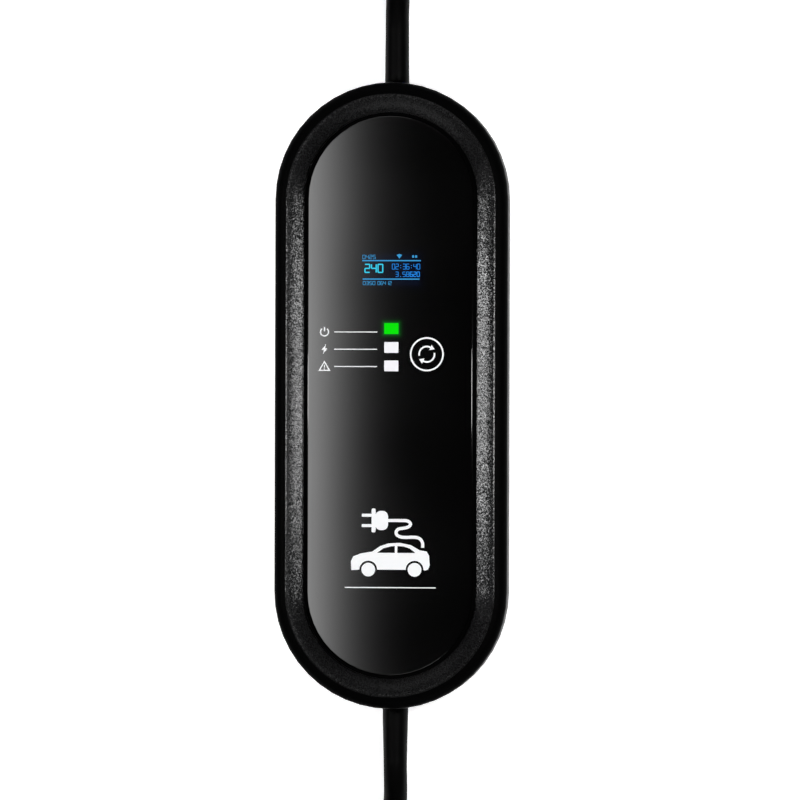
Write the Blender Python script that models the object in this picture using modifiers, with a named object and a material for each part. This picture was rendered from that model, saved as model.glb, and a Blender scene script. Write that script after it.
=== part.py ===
"""Portable charging cable for an electric car, lying on the back of its control box.

Front face up (+Z), supply lead towards +Y, vehicle cable towards -Y, lengths in metres.
The origin is the middle of the control box's back face.
"""
import math

import bmesh
import bpy
from mathutils import Matrix, Vector
from mathutils.geometry import interpolate_bezier

MM = 0.001
GAP = 0.3 * MM
SMOOTH_ANGLE = math.radians(32)
MERGE = 1e-6

# Control box
BOX_WIDTH = 102 * MM
BOX_LENGTH = 273 * MM
BOX_DEPTH = 48 * MM
SPLIT_HEIGHT = 33 * MM
WALL = 2.6 * MM
END_STEPS = 24
COARSE_STEPS = 12
EDGE_STEPS = 4
BACK_EDGE_RADIUS = 8 * MM
BACK_DRAFT = 2.2 * MM

# Rim where the two housings meet, with the gasket's groove
RIM_WIDTH = 6 * MM
RIM_DEPTH = 4.3 * MM
GROOVE_WIDTH = 2 * MM
GROOVE_DEPTH = 1.6 * MM
GROOVE_INSET = 2.4 * MM

# Front housing
BAND_WIDTH = 5.3 * MM
SHOULDER_HEIGHT = 5 * MM
RING_WIDTH = 7.9 * MM
RING_LIP = 0.5 * MM
RING_FALL = 0.9 * MM
RING_CREST = 0.4
RING_SHARES = (0.06, 0.25, 0.5, 0.75, 1)
LID_FLOOR = 2 * MM
PANEL_MOAT = 1.6 * MM
PANEL_THICKNESS = 2 * MM
PANEL_DROP = 0.3 * MM
PANEL_CHAMFER = 0.35 * MM
ADHESIVE_THICKNESS = 0.5 * MM
ADHESIVE_WIDTH = 4.2 * MM

# Things on the front, measured from the panel's middle
DISPLAY_CENTRE = (0.5 * MM, 54.6 * MM)
DISPLAY_WINDOW = (27 * MM, 15 * MM)
DISPLAY_MODULE = (31 * MM, 21 * MM, 3.4 * MM)
LIGHT_X = 0.6 * MM
LIGHT_SIZE = (6.7 * MM, 5.3 * MM)
LIGHT_SPOTS = {"power": 29.1 * MM, "charging": 21.0 * MM, "fault": 12.9 * MM}
TOUCH_CENTRE = (16.2 * MM, 18.1 * MM)
TOUCH_HOLE_RADIUS = 6.5 * MM
SPRING_RADIUS = 4.6 * MM
SPRING_WIRE = 0.8 * MM
SPRING_TURNS = 3
SPRING_POINTS = 9

# Display board, hung from stakes under the lid
DISPLAY_BOARD_LOW = (-29 * MM, -4 * MM)
DISPLAY_BOARD_HIGH = (29 * MM, 70 * MM)
DISPLAY_BOARD_DROP = 4.4 * MM
BOARD_THICKNESS = 1.6 * MM
BOARD_CORNER = 3 * MM
STAKE_INSET = 4 * MM
STAKE_RADIUS = 2.6 * MM
STAKE_PIN_RADIUS = 1.2 * MM
STAKE_PIN_REACH = 1 * MM

# Screws and what they pass through
SCREW_X = 38 * MM
SCREW_ROWS = (-1, 0, 1)
BOSS_RADIUS = 4.5 * MM
BOSS_TOP = 26 * MM
POST_RADIUS = 4 * MM
SCREW_RADIUS = 1.5 * MM
HEAD_RADIUS = 2.9 * MM
HEAD_HEIGHT = 2.2 * MM
HEAD_RECESS = 8 * MM
HOUSING_SCREW_REACH = 36 * MM
PILOT_SPARE = 1 * MM
SCREW_STEPS = 10

# Main board and what stands on it: the insets are from the box's ends and from the board's edges
MAIN_BOARD_WIDTH = 64 * MM
MAIN_BOARD_INSET = 41.5 * MM
STANDOFF_TOP = 9 * MM
STANDOFF_RADIUS = 3.5 * MM
STANDOFF_INSET = (5 * MM, 27 * MM)
BOARD_SCREW_END = 4.8 * MM
RIB_ROWS = (-45 * MM, -15 * MM, 15 * MM, 45 * MM)
RIB_HALF_LENGTH = 43 * MM
RIB_THICKNESS = 1.6 * MM
RIB_TOP = 6 * MM
TERMINAL_INSET = 74.5 * MM
TERMINAL_DEPTH = 12 * MM
TERMINAL_HEIGHT = 14 * MM
TERMINAL_PITCH = 9 * MM
TERMINAL_EDGE = 7 * MM
CLAMP_HEIGHT = 7 * MM
RELAY_SIZE = (16 * MM, 30 * MM, 23 * MM)
RELAY_X = {"line": -14 * MM, "neutral": 14 * MM}
COIL_INSET = 50.5 * MM
COIL_RADIUS = 13 * MM
COIL_BORE = 6.5 * MM
COIL_THICKNESS = 12 * MM
POWER_MODULE_SIZE = (38 * MM, 22 * MM, 16 * MM)
POWER_MODULE_X = -10 * MM
FILTER_SIZE = (9 * MM, 18 * MM, 14 * MM)
FILTER_X = 19 * MM
BULK_RADIUS = 6 * MM
BULK_HEIGHT = 20 * MM
BULK_X = 16 * MM
RIBBON_WIDTH = 14 * MM
RIBBON_THICKNESS = 0.8 * MM
RIBBON_CLEARANCE = 2 * MM
RIBBON_BULGE = 5 * MM

# How the room left over between the terminal blocks is shared out, from the supply end
RELAY_SHARE = 0.115
MODULE_SHARE = 0.096
FILTER_SHARE = 0.288
BULK_SHARE = 0.25
PART_EDGE = 0.4 * MM

# Cords and where they leave the box
CORD_DIAMETER = 10.4 * MM
CORD_HEIGHT = 19 * MM
SEAT_HALF_WIDTH = 11 * MM
SEAT_INSET = 9 * MM
SEAT_THICKNESS = 5 * MM
SEAT_LOW = 8 * MM
SEAT_HIGH = 29 * MM
BOOT_LENGTH = 24 * MM
BOOT_BASE_RADIUS = {"supply": 5.4 * MM, "vehicle": 5.75 * MM}
BOOT_TIP_RADIUS = 5.22 * MM
BOOT_FLANGE_RADIUS = 8.5 * MM
BOOT_FLANGE = 3 * MM
SHEATH_END_INSET = 24.5 * MM
WIRE_DIAMETER = 3.4 * MM
PILOT_WIRE_DIAMETER = 2 * MM
CORD_POINT_SPACING = 2.2 * CORD_DIAMETER
WIRE_POINT_SPACING = 6.5 * MM
ROUTE_STEPS = 12

# Hank of the vehicle cable: turns side by side and in layers, held by a strap
HANK_RADIUS = 57.2 * MM
HANK_LENGTH = 180 * MM
HANK_LAYERS = 4
HANK_DISTANCE = 44.2 * MM
STRAP_THICKNESS = 1 * MM
STRAP_WIDTH = 20 * MM

# Mains plug, lying beside the supply lead with its mouth towards the box
PLUG_X = -27 * MM
PLUG_DISTANCE = 31.4 * MM
LEAD_X = 54 * MM
TURN_DISTANCE = 6.4 * MM
SHROUD_RADIUS = 29 * MM
SHROUD_WALL = 4 * MM
SHROUD_DEPTH = 38 * MM
SHROUD_FLOOR = 6 * MM
PLUG_RING_RADIUS = 31 * MM
PLUG_RING_WIDTH = 10 * MM
PLUG_NECK_RADIUS = 20 * MM
PLUG_HOUSING_LENGTH = 53 * MM
PLUG_NUT_RADIUS = 18 * MM
PLUG_NUT_LENGTH = 20 * MM
PLUG_TAIL_LENGTH = 12 * MM
PLUG_TAIL_RADIUS = 9.5 * MM
PLUG_STEPS = 24
PIN_STEPS = 12
PIN_CIRCLE = 14.5 * MM
PIN_SETBACK = 4 * MM
PINS = {"earth": (4 * MM, 180), "line": (3 * MM, 300), "neutral": (3 * MM, 60)}
KEY_WIDTH = 8 * MM
KEY_HEIGHT = 2.5 * MM

# Vehicle connector, lying on the hank with its nose past the far end
CONNECTOR_NOSE_X = 6 * MM
CONNECTOR_TAIL_X = -16 * MM
CONNECTOR_TAIL_REACH = 94.2 * MM
CONNECTOR_LENGTH = 127 * MM
COLLAR_RADIUS = 33 * MM
GRIP_HALF_WIDTH = 22 * MM
GRIP_HALF_HEIGHT = 20 * MM
CONNECTOR_SIDES = 24
NOSE_RADIUS = 27 * MM
NOSE_LENGTH = 27 * MM
NOSE_FLAT = 20 * MM
NOSE_CHAMFER = 1.2 * MM
SOCKET_RADIUS = 4.2 * MM
SIGNAL_RADIUS = 2.2 * MM
SOCKET_FLOOR = 2.5 * MM
CONTACT_SETBACK = 6 * MM
POWER_CONTACT = (3.9 * MM, 3.1 * MM)
SIGNAL_CONTACT = (1.9 * MM, 1.3 * MM)
TAIL_BOOT_LENGTH = 32 * MM
TAIL_BOOT_RADII = (6.2 * MM, 9.6 * MM)
TAIL_BOOT_RIBS = 4
RIB_SHARE = 0.6

# Shape of the connector: the grip's sections as shares (along, lean, half width, half height)
# and the collar's as shares (along, radius)
GRIP_SECTIONS = (
    (0, 1, 0.55, 0.6), (0.08, 0.95, 0.68, 0.73), (0.19, 0.82, 0.84, 0.88), (0.33, 0.64, 0.91, 0.98),
    (0.49, 0.41, 0.93, 1), (0.645, 0.2, 1, 1), (0.7, 0.12, 1.03, 1), (0.76, 0.05, 1.14, 1.15),
)
COLLAR_SECTIONS = ((0.83, 0.93), (0.875, 1), (0.97, 1), (1, 0.95))

# Sockets on the nose: (towards the flat, across), with the contact that each one holds
POWER_SOCKETS = {
    "earth": (0, 0),
    "line": (0, -16 * MM),
    "neutral": (0, 16 * MM),
    "spare_left": (-13.8 * MM, -8.2 * MM),
    "spare_right": (-13.8 * MM, 8.2 * MM),
}
SIGNAL_SOCKETS = {"pilot": (12 * MM, -8 * MM), "proximity": (12 * MM, 8 * MM)}
EMPTY_SOCKETS = ("spare_left", "spare_right")

# Places that follow from the sizes above
HALF_WIDTH = BOX_WIDTH / 2
HALF_LENGTH = BOX_LENGTH / 2
END_CENTRE = HALF_LENGTH - HALF_WIDTH
RING_OUTER = HALF_WIDTH - BAND_WIDTH
RECESS_RADIUS = RING_OUTER - RING_WIDTH
PANEL_RADIUS = RECESS_RADIUS - PANEL_MOAT
PANEL_TOP = BOX_DEPTH - PANEL_DROP
PANEL_BACK = PANEL_TOP - PANEL_THICKNESS
LID_FLOOR_TOP = PANEL_BACK - 2 * GAP - ADHESIVE_THICKNESS
CEILING = LID_FLOOR_TOP - LID_FLOOR
LID_RIM = SPLIT_HEIGHT + GAP
BACK_RADIUS = HALF_WIDTH - BACK_DRAFT
RIM_INNER = HALF_WIDTH - RIM_WIDTH
DISPLAY_BOARD_TOP = CEILING - DISPLAY_BOARD_DROP
MAIN_BOARD_LOW = STANDOFF_TOP + GAP
MAIN_BOARD_TOP = MAIN_BOARD_LOW + BOARD_THICKNESS
PART_SEAT = MAIN_BOARD_TOP + GAP
SEAT_FACE = HALF_LENGTH - SEAT_INSET
SHEATH_END = HALF_LENGTH - SHEATH_END_INSET
HANK_LOW = STRAP_THICKNESS + GAP
HANK_TOP = HANK_LOW + HANK_LAYERS * CORD_DIAMETER
WALL_FACE = END_CENTRE + BACK_RADIUS + BACK_DRAFT * CORD_HEIGHT / SPLIT_HEIGHT
BOOT_END = WALL_FACE + BOOT_LENGTH
HANK_NEAR_END = -BOOT_END - HANK_DISTANCE
HANK_FAR_END = HANK_NEAR_END - HANK_LENGTH
HANK_NEAR_CENTRE = HANK_NEAR_END - HANK_RADIUS
HANK_FAR_CENTRE = HANK_FAR_END + HANK_RADIUS
PLUG_Z = PLUG_RING_RADIUS
PLUG_MOUTH = BOOT_END + PLUG_DISTANCE
PLUG_FLOOR = SHROUD_DEPTH + SHROUD_FLOOR
PLUG_NECK = PLUG_FLOOR + GAP + PLUG_HOUSING_LENGTH
PLUG_NUT_END = PLUG_NECK + GAP + PLUG_NUT_LENGTH
PLUG_TAIL_END = PLUG_MOUTH + PLUG_NUT_END + PLUG_TAIL_LENGTH
CONNECTOR_Z = HANK_TOP + GAP + GRIP_HALF_HEIGHT
CONNECTOR_TAIL_Y = HANK_NEAR_END - CONNECTOR_TAIL_REACH
CONNECTOR_FRONT = CONNECTOR_TAIL_Y - CONNECTOR_LENGTH
NOSE_BACK = CONNECTOR_FRONT - GAP
NOSE_FACE = NOSE_BACK - NOSE_LENGTH
SCREW_SPOTS = [(side * SCREW_X, row * END_CENTRE) for row in SCREW_ROWS for side in (-1, 1)]

# Layout of the main board, from the supply end
BOARD_HALF = (MAIN_BOARD_WIDTH / 2, HALF_LENGTH - MAIN_BOARD_INSET)
STANDOFF_SPOTS = [(i * (BOARD_HALF[0] - STANDOFF_INSET[0]), j * (BOARD_HALF[1] - STANDOFF_INSET[1]))
                  for i in (-1, 1) for j in (-1, 1)]
COIL_Y = HALF_LENGTH - COIL_INSET
TERMINAL_Y = HALF_LENGTH - TERMINAL_INSET
TERMINAL_FACE = TERMINAL_Y - TERMINAL_DEPTH / 2
SPARE_ROOM = 2 * TERMINAL_FACE - RELAY_SIZE[1] - FILTER_SIZE[1] - 2 * BULK_RADIUS
RELAY_Y = TERMINAL_FACE - RELAY_SHARE * SPARE_ROOM - RELAY_SIZE[1] / 2
RELAY_END = RELAY_Y - RELAY_SIZE[1] / 2
RIBBON_Y = RELAY_END - RIBBON_CLEARANCE
MODULE_Y = (RIBBON_Y - RIBBON_BULGE - RIBBON_THICKNESS - GAP - MODULE_SHARE * SPARE_ROOM
            - POWER_MODULE_SIZE[1] / 2)
FILTER_Y = RELAY_END - FILTER_SHARE * SPARE_ROOM - FILTER_SIZE[1] / 2
BULK_Y = FILTER_Y - FILTER_SIZE[1] / 2 - BULK_SHARE * SPARE_ROOM - BULK_RADIUS

# Where the free cords start and end
LYING = CORD_DIAMETER / 2 + 0.1 * MM
SUPPLY_START = (0, BOOT_END + GAP, CORD_HEIGHT)
TURN_START = (LEAD_X, PLUG_TAIL_END + TURN_DISTANCE, LYING)
SUPPLY_END = (PLUG_X, PLUG_TAIL_END + GAP, PLUG_Z)
VEHICLE_START = (0, -BOOT_END - GAP, CORD_HEIGHT)
VEHICLE_END = (-0.74 * CORD_DIAMETER, HANK_NEAR_END + CORD_DIAMETER / 4, HANK_LOW + CORD_DIAMETER / 2)
TAIL_START = (HANK_RADIUS - CORD_DIAMETER / 2, HANK_NEAR_END - 0.6 * HANK_LENGTH,
              HANK_TOP + GAP + STRAP_THICKNESS + LYING)
TAIL_END = (CONNECTOR_TAIL_X, CONNECTOR_TAIL_Y + 2 * GAP + TAIL_BOOT_LENGTH, CONNECTOR_Z)

# How each runs between them, as shares of the way (across, along, up or down)
SUPPLY_WAY = (
    (0, 0, 0), (0, 0.014, 0), (0, 0.06, 0.052), (0.005, 0.114, 0.188), (0.034, 0.168, 0.408),
    (0.087, 0.221, 0.675), (0.175, 0.281, 0.883), (0.306, 0.347, 0.992), (0.492, 0.419, 1),
    (0.68, 0.491, 1), (0.825, 0.563, 1), (0.927, 0.634, 1), (0.985, 0.706, 1), (1, 0.79, 1),
    (1, 0.898, 1),
)
TURN_RISE = (0, 0.02, 0.12, 0.34, 0.62, 0.88, 1)
VEHICLE_WAY = (
    (0, 0, 0), (0, 0.05, 0), (0, 0.22, 0.09), (0.05, 0.44, 0.36), (0.34, 0.7, 0.7), (0.8, 0.915, 0.93),
    (1, 1, 1),
)
TAIL_WAY = (
    (0, 0, 0), (0, 0.343, 0), (0, 0.687, 0), (0.007, 1.07, 0.03), (0.076, 1.48, 0.14),
    (0.265, 1.75, 0.324), (0.5, 1.835, 0.544), (0.735, 1.75, 0.765), (0.926, 1.52, 0.941),
    (0.997, 1.27, 1), (1, 1.14, 1), (1, 1, 1),
)


def collection(name):
    """A new collection in the scene."""
    made = bpy.data.collections.new(name)
    bpy.context.scene.collection.children.link(made)
    return made


def material(name, colour, roughness, metallic=0.0):
    """A Principled material."""
    made = bpy.data.materials.new(name)
    made.use_nodes = True
    shader = made.node_tree.nodes["Principled BSDF"]
    shader.inputs["Base Color"].default_value = (*colour, 1)
    shader.inputs["Roughness"].default_value = roughness
    shader.inputs["Metallic"].default_value = metallic
    return made


def place(thing, finish):
    """Put an object in the parts' collection with its material."""
    thing.data.materials.append(finish)
    PARTS.objects.link(thing)
    return thing


def mesh_object(bm, name, finish):
    """Close a bmesh into a named object, round faces smooth and edges sharp."""
    bmesh.ops.recalc_face_normals(bm, faces=bm.faces)
    mesh = bpy.data.meshes.new(name)
    bm.to_mesh(mesh)
    bm.free()
    mesh.shade_smooth()
    mesh.set_sharp_from_angle(angle=SMOOTH_ANGLE)
    return place(bpy.data.objects.new(name, mesh), finish)


def block(name, low, high, finish, bevel=0.0):
    """A box between two corners, its edges rounded if a bevel is given."""
    bm = bmesh.new()
    bmesh.ops.create_cube(bm, size=1.0)
    bmesh.ops.scale(bm, vec=Vector(high) - Vector(low), verts=bm.verts)
    bmesh.ops.translate(bm, vec=(Vector(high) + Vector(low)) / 2, verts=bm.verts)
    thing = mesh_object(bm, name, finish)
    if bevel:
        rounding = thing.modifiers.new("edges", "BEVEL")
        rounding.width = bevel
        rounding.segments = 2
    return thing


def seated_block(name, spot, size, seat, finish, bevel):
    """A box that stands with its base at a height, centred on a spot."""
    low = (spot[0] - size[0] / 2, spot[1] - size[1] / 2, seat)
    high = (spot[0] + size[0] / 2, spot[1] + size[1] / 2, seat + size[2])
    return block(name, low, high, finish, bevel)


def rods(name, ends, radius, finish, sides=12):
    """A cylinder between each pair of points, all in one mesh."""
    bm = bmesh.new()
    for start, end in ends:
        along = Vector(end) - Vector(start)
        turn = along.to_track_quat("Z", "Y").to_matrix().to_4x4()
        where = Matrix.Translation((Vector(start) + Vector(end)) / 2) @ turn
        bmesh.ops.create_cone(bm, cap_ends=True, segments=sides, radius1=radius, radius2=radius,
                              depth=along.length, matrix=where)
    return mesh_object(bm, name, finish)


def uprights(name, spots, radius, low, high, finish, sides=12):
    """A vertical cylinder at each spot."""
    return rods(name, [((x, y, low), (x, y, high)) for x, y in spots], radius, finish, sides)


def swept_round(name, profile, finish, closed=False, steps=END_STEPS):
    """Carry a (radius, height) profile once round the box's outline.

    Half a turn about each end centre, with a straight run between them. An open
    profile is closed by flat faces across the outline at its two ends.
    """
    bm = bmesh.new()
    spots = [bm.verts.new((radius, END_CENTRE, height)) for radius, height in profile]
    edges = [bm.edges.new(pair) for pair in zip(spots, spots[1:])]
    if closed:
        edges.append(bm.edges.new((spots[-1], spots[0])))
    front = spots + edges
    for end in (1, -1):
        turned_ends = bmesh.ops.spin(bm, geom=front, cent=(0, end * END_CENTRE, 0), axis=(0, 0, 1),
                                     angle=math.pi, steps=steps)
        last = [e for e in turned_ends["geom_last"] if isinstance(e, bmesh.types.BMEdge)]
        run = bmesh.ops.extrude_edge_only(bm, edges=last)["geom"]
        moved = [v for v in run if isinstance(v, bmesh.types.BMVert)]
        bmesh.ops.translate(bm, vec=(0, -2 * end * END_CENTRE, 0), verts=moved)
        front = moved + [e for e in run if isinstance(e, bmesh.types.BMEdge)
                         and all(v in moved for v in e.verts)]
    bmesh.ops.remove_doubles(bm, verts=bm.verts, dist=MERGE)
    if not closed:
        bmesh.ops.holes_fill(bm, edges=[e for e in bm.edges if e.is_boundary], sides=0)
    return mesh_object(bm, name, finish)


def turned(name, profile, finish, where=Matrix(), steps=24, closed=False):
    """A turned piece: a (radius, height) profile from top to bottom with a Screw modifier."""
    bm = bmesh.new()
    spots = [bm.verts.new((radius, 0, height)) for radius, height in profile]
    for pair in zip(spots, spots[1:]):
        bm.edges.new(pair)
    if closed:
        bm.edges.new((spots[-1], spots[0]))
    thing = mesh_object(bm, name, finish)
    screw = thing.modifiers.new("turn", "SCREW")
    screw.steps = steps
    screw.render_steps = steps
    screw.use_merge_vertices = True
    screw.merge_threshold = MERGE
    thing.matrix_world = where
    return thing


def loft(name, sections, height, finish):
    """A skin over oval sections (y, middle x, half width, half height) at one height."""
    bm = bmesh.new()
    loops = []
    for y, middle, wide, tall in sections:
        angles = [2 * math.pi * i / CONNECTOR_SIDES for i in range(CONNECTOR_SIDES)]
        loops.append([bm.verts.new((middle + wide * math.cos(a), y, height + tall * math.sin(a)))
                      for a in angles])
    for loop in loops:
        for pair in zip(loop, loop[1:] + loop[:1]):
            bm.edges.new(pair)
    bmesh.ops.bridge_loops(bm, edges=bm.edges)
    bmesh.ops.holes_fill(bm, edges=[e for e in bm.edges if e.is_boundary], sides=0)
    return mesh_object(bm, name, finish)


def smooth_route(route, spacing):
    """Evenly spaced points on a smooth curve through the route's points.

    One more point close to each end keeps the end faces square to the curve.
    """
    spots = [Vector(spot) for spot in route]
    padded = [2 * spots[0] - spots[1], *spots, 2 * spots[-1] - spots[-2]]
    fine = [spots[0]]
    for before, start, end, after in zip(padded, padded[1:], padded[2:], padded[3:]):
        third = (end - start).length / 3
        leave = start + (end - before).normalized() * third
        arrive = end - (after - start).normalized() * third
        fine.extend(interpolate_bezier(start, leave, arrive, end, ROUTE_STEPS)[1:])
    lengths = [0.0]
    for start, end in zip(fine, fine[1:]):
        lengths.append(lengths[-1] + (end - start).length)
    count = max(2, round(lengths[-1] / spacing))
    even = []
    piece = 0
    for i in range(count + 1):
        target = lengths[-1] * i / count
        while piece < len(fine) - 2 and lengths[piece + 1] < target:
            piece += 1
        share = (target - lengths[piece]) / (lengths[piece + 1] - lengths[piece])
        even.append(fine[piece].lerp(fine[piece + 1], share))
    return [even[0], fine[1], *even[1:-1], fine[-2], even[-1]]


def tube(name, points, diameter, finish, resolution=2):
    """A round cord, wire or coil along points."""
    curve = bpy.data.curves.new(name, "CURVE")
    curve.dimensions = "3D"
    curve.bevel_depth = diameter / 2
    curve.bevel_resolution = resolution
    curve.use_fill_caps = True
    spline = curve.splines.new("POLY")
    spline.points.add(len(points) - 1)
    for point, spot in zip(spline.points, points):
        point.co = (*spot, 1)
    return place(bpy.data.objects.new(name, curve), finish)


def plate(name, outline, low, high, finish):
    """A flat outline extruded from one height to another."""
    curve = bpy.data.curves.new(name, "CURVE")
    curve.dimensions = "2D"
    curve.fill_mode = "BOTH"
    curve.extrude = (high - low) / 2
    spline = curve.splines.new("POLY")
    spline.points.add(len(outline) - 1)
    for point, (x, y) in zip(spline.points, outline):
        point.co = (x, y, 0, 1)
    spline.use_cyclic_u = True
    thing = place(bpy.data.objects.new(name, curve), finish)
    thing.location.z = (low + high) / 2
    return thing


def as_mesh(thing):
    """Replace a curve object by a welded mesh object of the same name."""
    name = thing.name
    made = bpy.data.meshes.new_from_object(thing.evaluated_get(bpy.context.evaluated_depsgraph_get()))
    bm = bmesh.new()
    bm.from_mesh(made)
    bmesh.ops.remove_doubles(bm, verts=bm.verts, dist=MERGE)
    finish = thing.data.materials[0]
    where = thing.matrix_world.copy()
    bpy.data.objects.remove(thing)
    bpy.data.meshes.remove(made)
    solid = mesh_object(bm, name, finish)
    solid.matrix_world = where
    return solid


def rounded_rectangle(low, high, radius, steps=4):
    """The outline of a rectangle with round corners."""
    left, near = low[0] + radius, low[1] + radius
    right, far = high[0] - radius, high[1] - radius
    outline = []
    for quarters, (x, y) in enumerate(((right, far), (left, far), (left, near), (right, near))):
        for i in range(steps + 1):
            angle = math.pi / 2 * (quarters + i / steps)
            outline.append((x + radius * math.cos(angle), y + radius * math.sin(angle)))
    return outline


def round_ended(radius, near, far, steps):
    """The outline of a strip along Y with a half circle at each end."""
    outline = []
    for halves, centre in enumerate((near, far)):
        for i in range(steps + 1):
            angle = math.pi * (halves + i / steps)
            outline.append((radius * math.cos(angle), centre + radius * math.sin(angle)))
    return outline


def boolean(target, tool, operation):
    """Cut a tool from a target, or join it on, and put the tool away as a guide."""
    change = target.modifiers.new(tool.name, "BOOLEAN")
    change.operation = operation
    change.object = tool
    PARTS.objects.unlink(tool)
    CUTTERS.objects.link(tool)
    tool.hide_render = True
    tool.display_type = "WIRE"


def cut(target, tool):
    boolean(target, tool, "DIFFERENCE")


def join(target, tool):
    boolean(target, tool, "UNION")


def quarter(radius_at, height_at, steps):
    """Points of a quarter curve as its angle goes from 0 to 90 degrees."""
    angles = [math.pi / 2 * i / steps for i in range(steps + 1)]
    return [(radius_at(angle), height_at(angle)) for angle in angles]


def rear_housing():
    """Deep tub with round back edges, gasket groove, bosses, standoffs, ribs and cable seats."""
    corner = BACK_RADIUS - BACK_EDGE_RADIUS
    inner_corner = BACK_EDGE_RADIUS - WALL
    groove_outer = HALF_WIDTH - GROOVE_INSET
    inside = quarter(lambda a: corner + inner_corner * math.sin(a),
                     lambda a: BACK_EDGE_RADIUS - inner_corner * math.cos(a), EDGE_STEPS)
    rim_foot = SPLIT_HEIGHT - RIM_DEPTH
    rim = [
        (HALF_WIDTH - WALL - GAP, rim_foot - (RIM_WIDTH - WALL)),
        (RIM_INNER, rim_foot),
        (RIM_INNER, SPLIT_HEIGHT),
        (groove_outer - GROOVE_WIDTH, SPLIT_HEIGHT),
        (groove_outer - GROOVE_WIDTH, SPLIT_HEIGHT - GROOVE_DEPTH),
        (groove_outer, SPLIT_HEIGHT - GROOVE_DEPTH),
        (groove_outer, SPLIT_HEIGHT),
        (HALF_WIDTH, SPLIT_HEIGHT),
    ]
    outside = quarter(lambda a: corner + BACK_EDGE_RADIUS * math.cos(a),
                      lambda a: BACK_EDGE_RADIUS * (1 - math.sin(a)), EDGE_STEPS)
    tub = swept_round("rear_housing", inside + rim + outside, SHELL)
    floor = WALL / 2
    join(tub, uprights("screw_bosses", SCREW_SPOTS, BOSS_RADIUS, floor, BOSS_TOP, SHELL))
    join(tub, uprights("standoffs", STANDOFF_SPOTS, STANDOFF_RADIUS, floor, STANDOFF_TOP, SHELL))
    for i, y in enumerate(RIB_ROWS):
        low = (-RIB_HALF_LENGTH, y - RIB_THICKNESS / 2, floor)
        high = (RIB_HALF_LENGTH, y + RIB_THICKNESS / 2, RIB_TOP)
        join(tub, block(f"rib_{i + 1}", low, high, SHELL))
    for side in (1, -1):
        near, far = sorted((side * SEAT_FACE, side * (SEAT_FACE + SEAT_THICKNESS)))
        join(tub, block(f"cable_seat_{side + 2}", (-SEAT_HALF_WIDTH, near, SEAT_LOW),
                        (SEAT_HALF_WIDTH, far, SEAT_HIGH), SHELL))
    for end, side in (("supply", 1), ("vehicle", -1)):
        reach = [((0, side * SHEATH_END, CORD_HEIGHT), (0, side * (HALF_LENGTH + WALL), CORD_HEIGHT))]
        cut(tub, rods(f"{end}_entry", reach, BOOT_BASE_RADIUS[end] + GAP, SHELL, 16))
    cut(tub, uprights("head_recesses", SCREW_SPOTS, HEAD_RADIUS + GAP, -WALL, HEAD_RECESS, SHELL))
    cut(tub, uprights("screw_holes", SCREW_SPOTS, SCREW_RADIUS + GAP, WALL, BOSS_TOP + WALL, SHELL))
    pilot_floor = BOARD_SCREW_END - PILOT_SPARE
    cut(tub, uprights("standoff_holes", STANDOFF_SPOTS, SCREW_RADIUS + GAP, pilot_floor,
                      STANDOFF_TOP + WALL, SHELL))


def front_housing():
    """Shallow lid with shoulder, ring and recess, its windows, posts and board stakes."""
    band_top = BOX_DEPTH - RING_FALL - RING_LIP
    recess = [(RECESS_RADIUS, LID_FLOOR_TOP), (RECESS_RADIUS, band_top)]
    for share in RING_SHARES:
        off_crest = (share - RING_CREST) / (1 - RING_CREST)
        recess.append((RECESS_RADIUS + RING_WIDTH * share, BOX_DEPTH - RING_FALL * off_crest * off_crest))
    shoulder = quarter(lambda a: RING_OUTER + BAND_WIDTH * math.sin(a),
                       lambda a: band_top - SHOULDER_HEIGHT * (1 - math.cos(a)), EDGE_STEPS + 1)
    inside = [
        (HALF_WIDTH, LID_RIM),
        (RIM_INNER, LID_RIM),
        (RIM_INNER, LID_RIM + WALL / 2),
        (HALF_WIDTH - WALL, LID_RIM + WALL / 2 + RIM_WIDTH - WALL),
        (HALF_WIDTH - WALL, CEILING - RIM_WIDTH + WALL),
        (RIM_INNER, CEILING),
    ]
    lid = swept_round("front_housing", recess + shoulder + inside, SHELL)
    root = CEILING + LID_FLOOR / 2
    join(lid, uprights("screw_posts", SCREW_SPOTS, POST_RADIUS, BOSS_TOP + GAP, root, SHELL))
    stakes = [(x + i * STAKE_INSET, y + j * STAKE_INSET)
              for x, i in ((DISPLAY_BOARD_LOW[0], 1), (DISPLAY_BOARD_HIGH[0], -1))
              for y, j in ((DISPLAY_BOARD_LOW[1], 1), (DISPLAY_BOARD_HIGH[1], -1))]
    stake_end = DISPLAY_BOARD_TOP - BOARD_THICKNESS - STAKE_PIN_REACH
    join(lid, uprights("board_stakes", stakes, STAKE_RADIUS, DISPLAY_BOARD_TOP + GAP, root, SHELL))
    join(lid, uprights("stake_pins", stakes, STAKE_PIN_RADIUS, stake_end, root, SHELL))
    cut(lid, uprights("post_holes", SCREW_SPOTS, SCREW_RADIUS + GAP, BOSS_TOP - WALL,
                      HOUSING_SCREW_REACH + PILOT_SPARE, SHELL))
    windows = [(DISPLAY_CENTRE, DISPLAY_WINDOW, "display_opening")]
    light_opening = (LIGHT_SIZE[0] + 2 * GAP, LIGHT_SIZE[1] + 2 * GAP)
    windows += [((LIGHT_X, y), light_opening, f"{name}_opening") for name, y in LIGHT_SPOTS.items()]
    for (x, y), (wide, tall), name in windows:
        cut(lid, block(name, (x - wide / 2, y - tall / 2, CEILING - WALL),
                       (x + wide / 2, y + tall / 2, PANEL_BACK), SHELL))
    cut(lid, uprights("touch_opening", [TOUCH_CENTRE], TOUCH_HOLE_RADIUS, CEILING - WALL, PANEL_BACK,
                      SHELL, 16))
    display_board(stakes)


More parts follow.
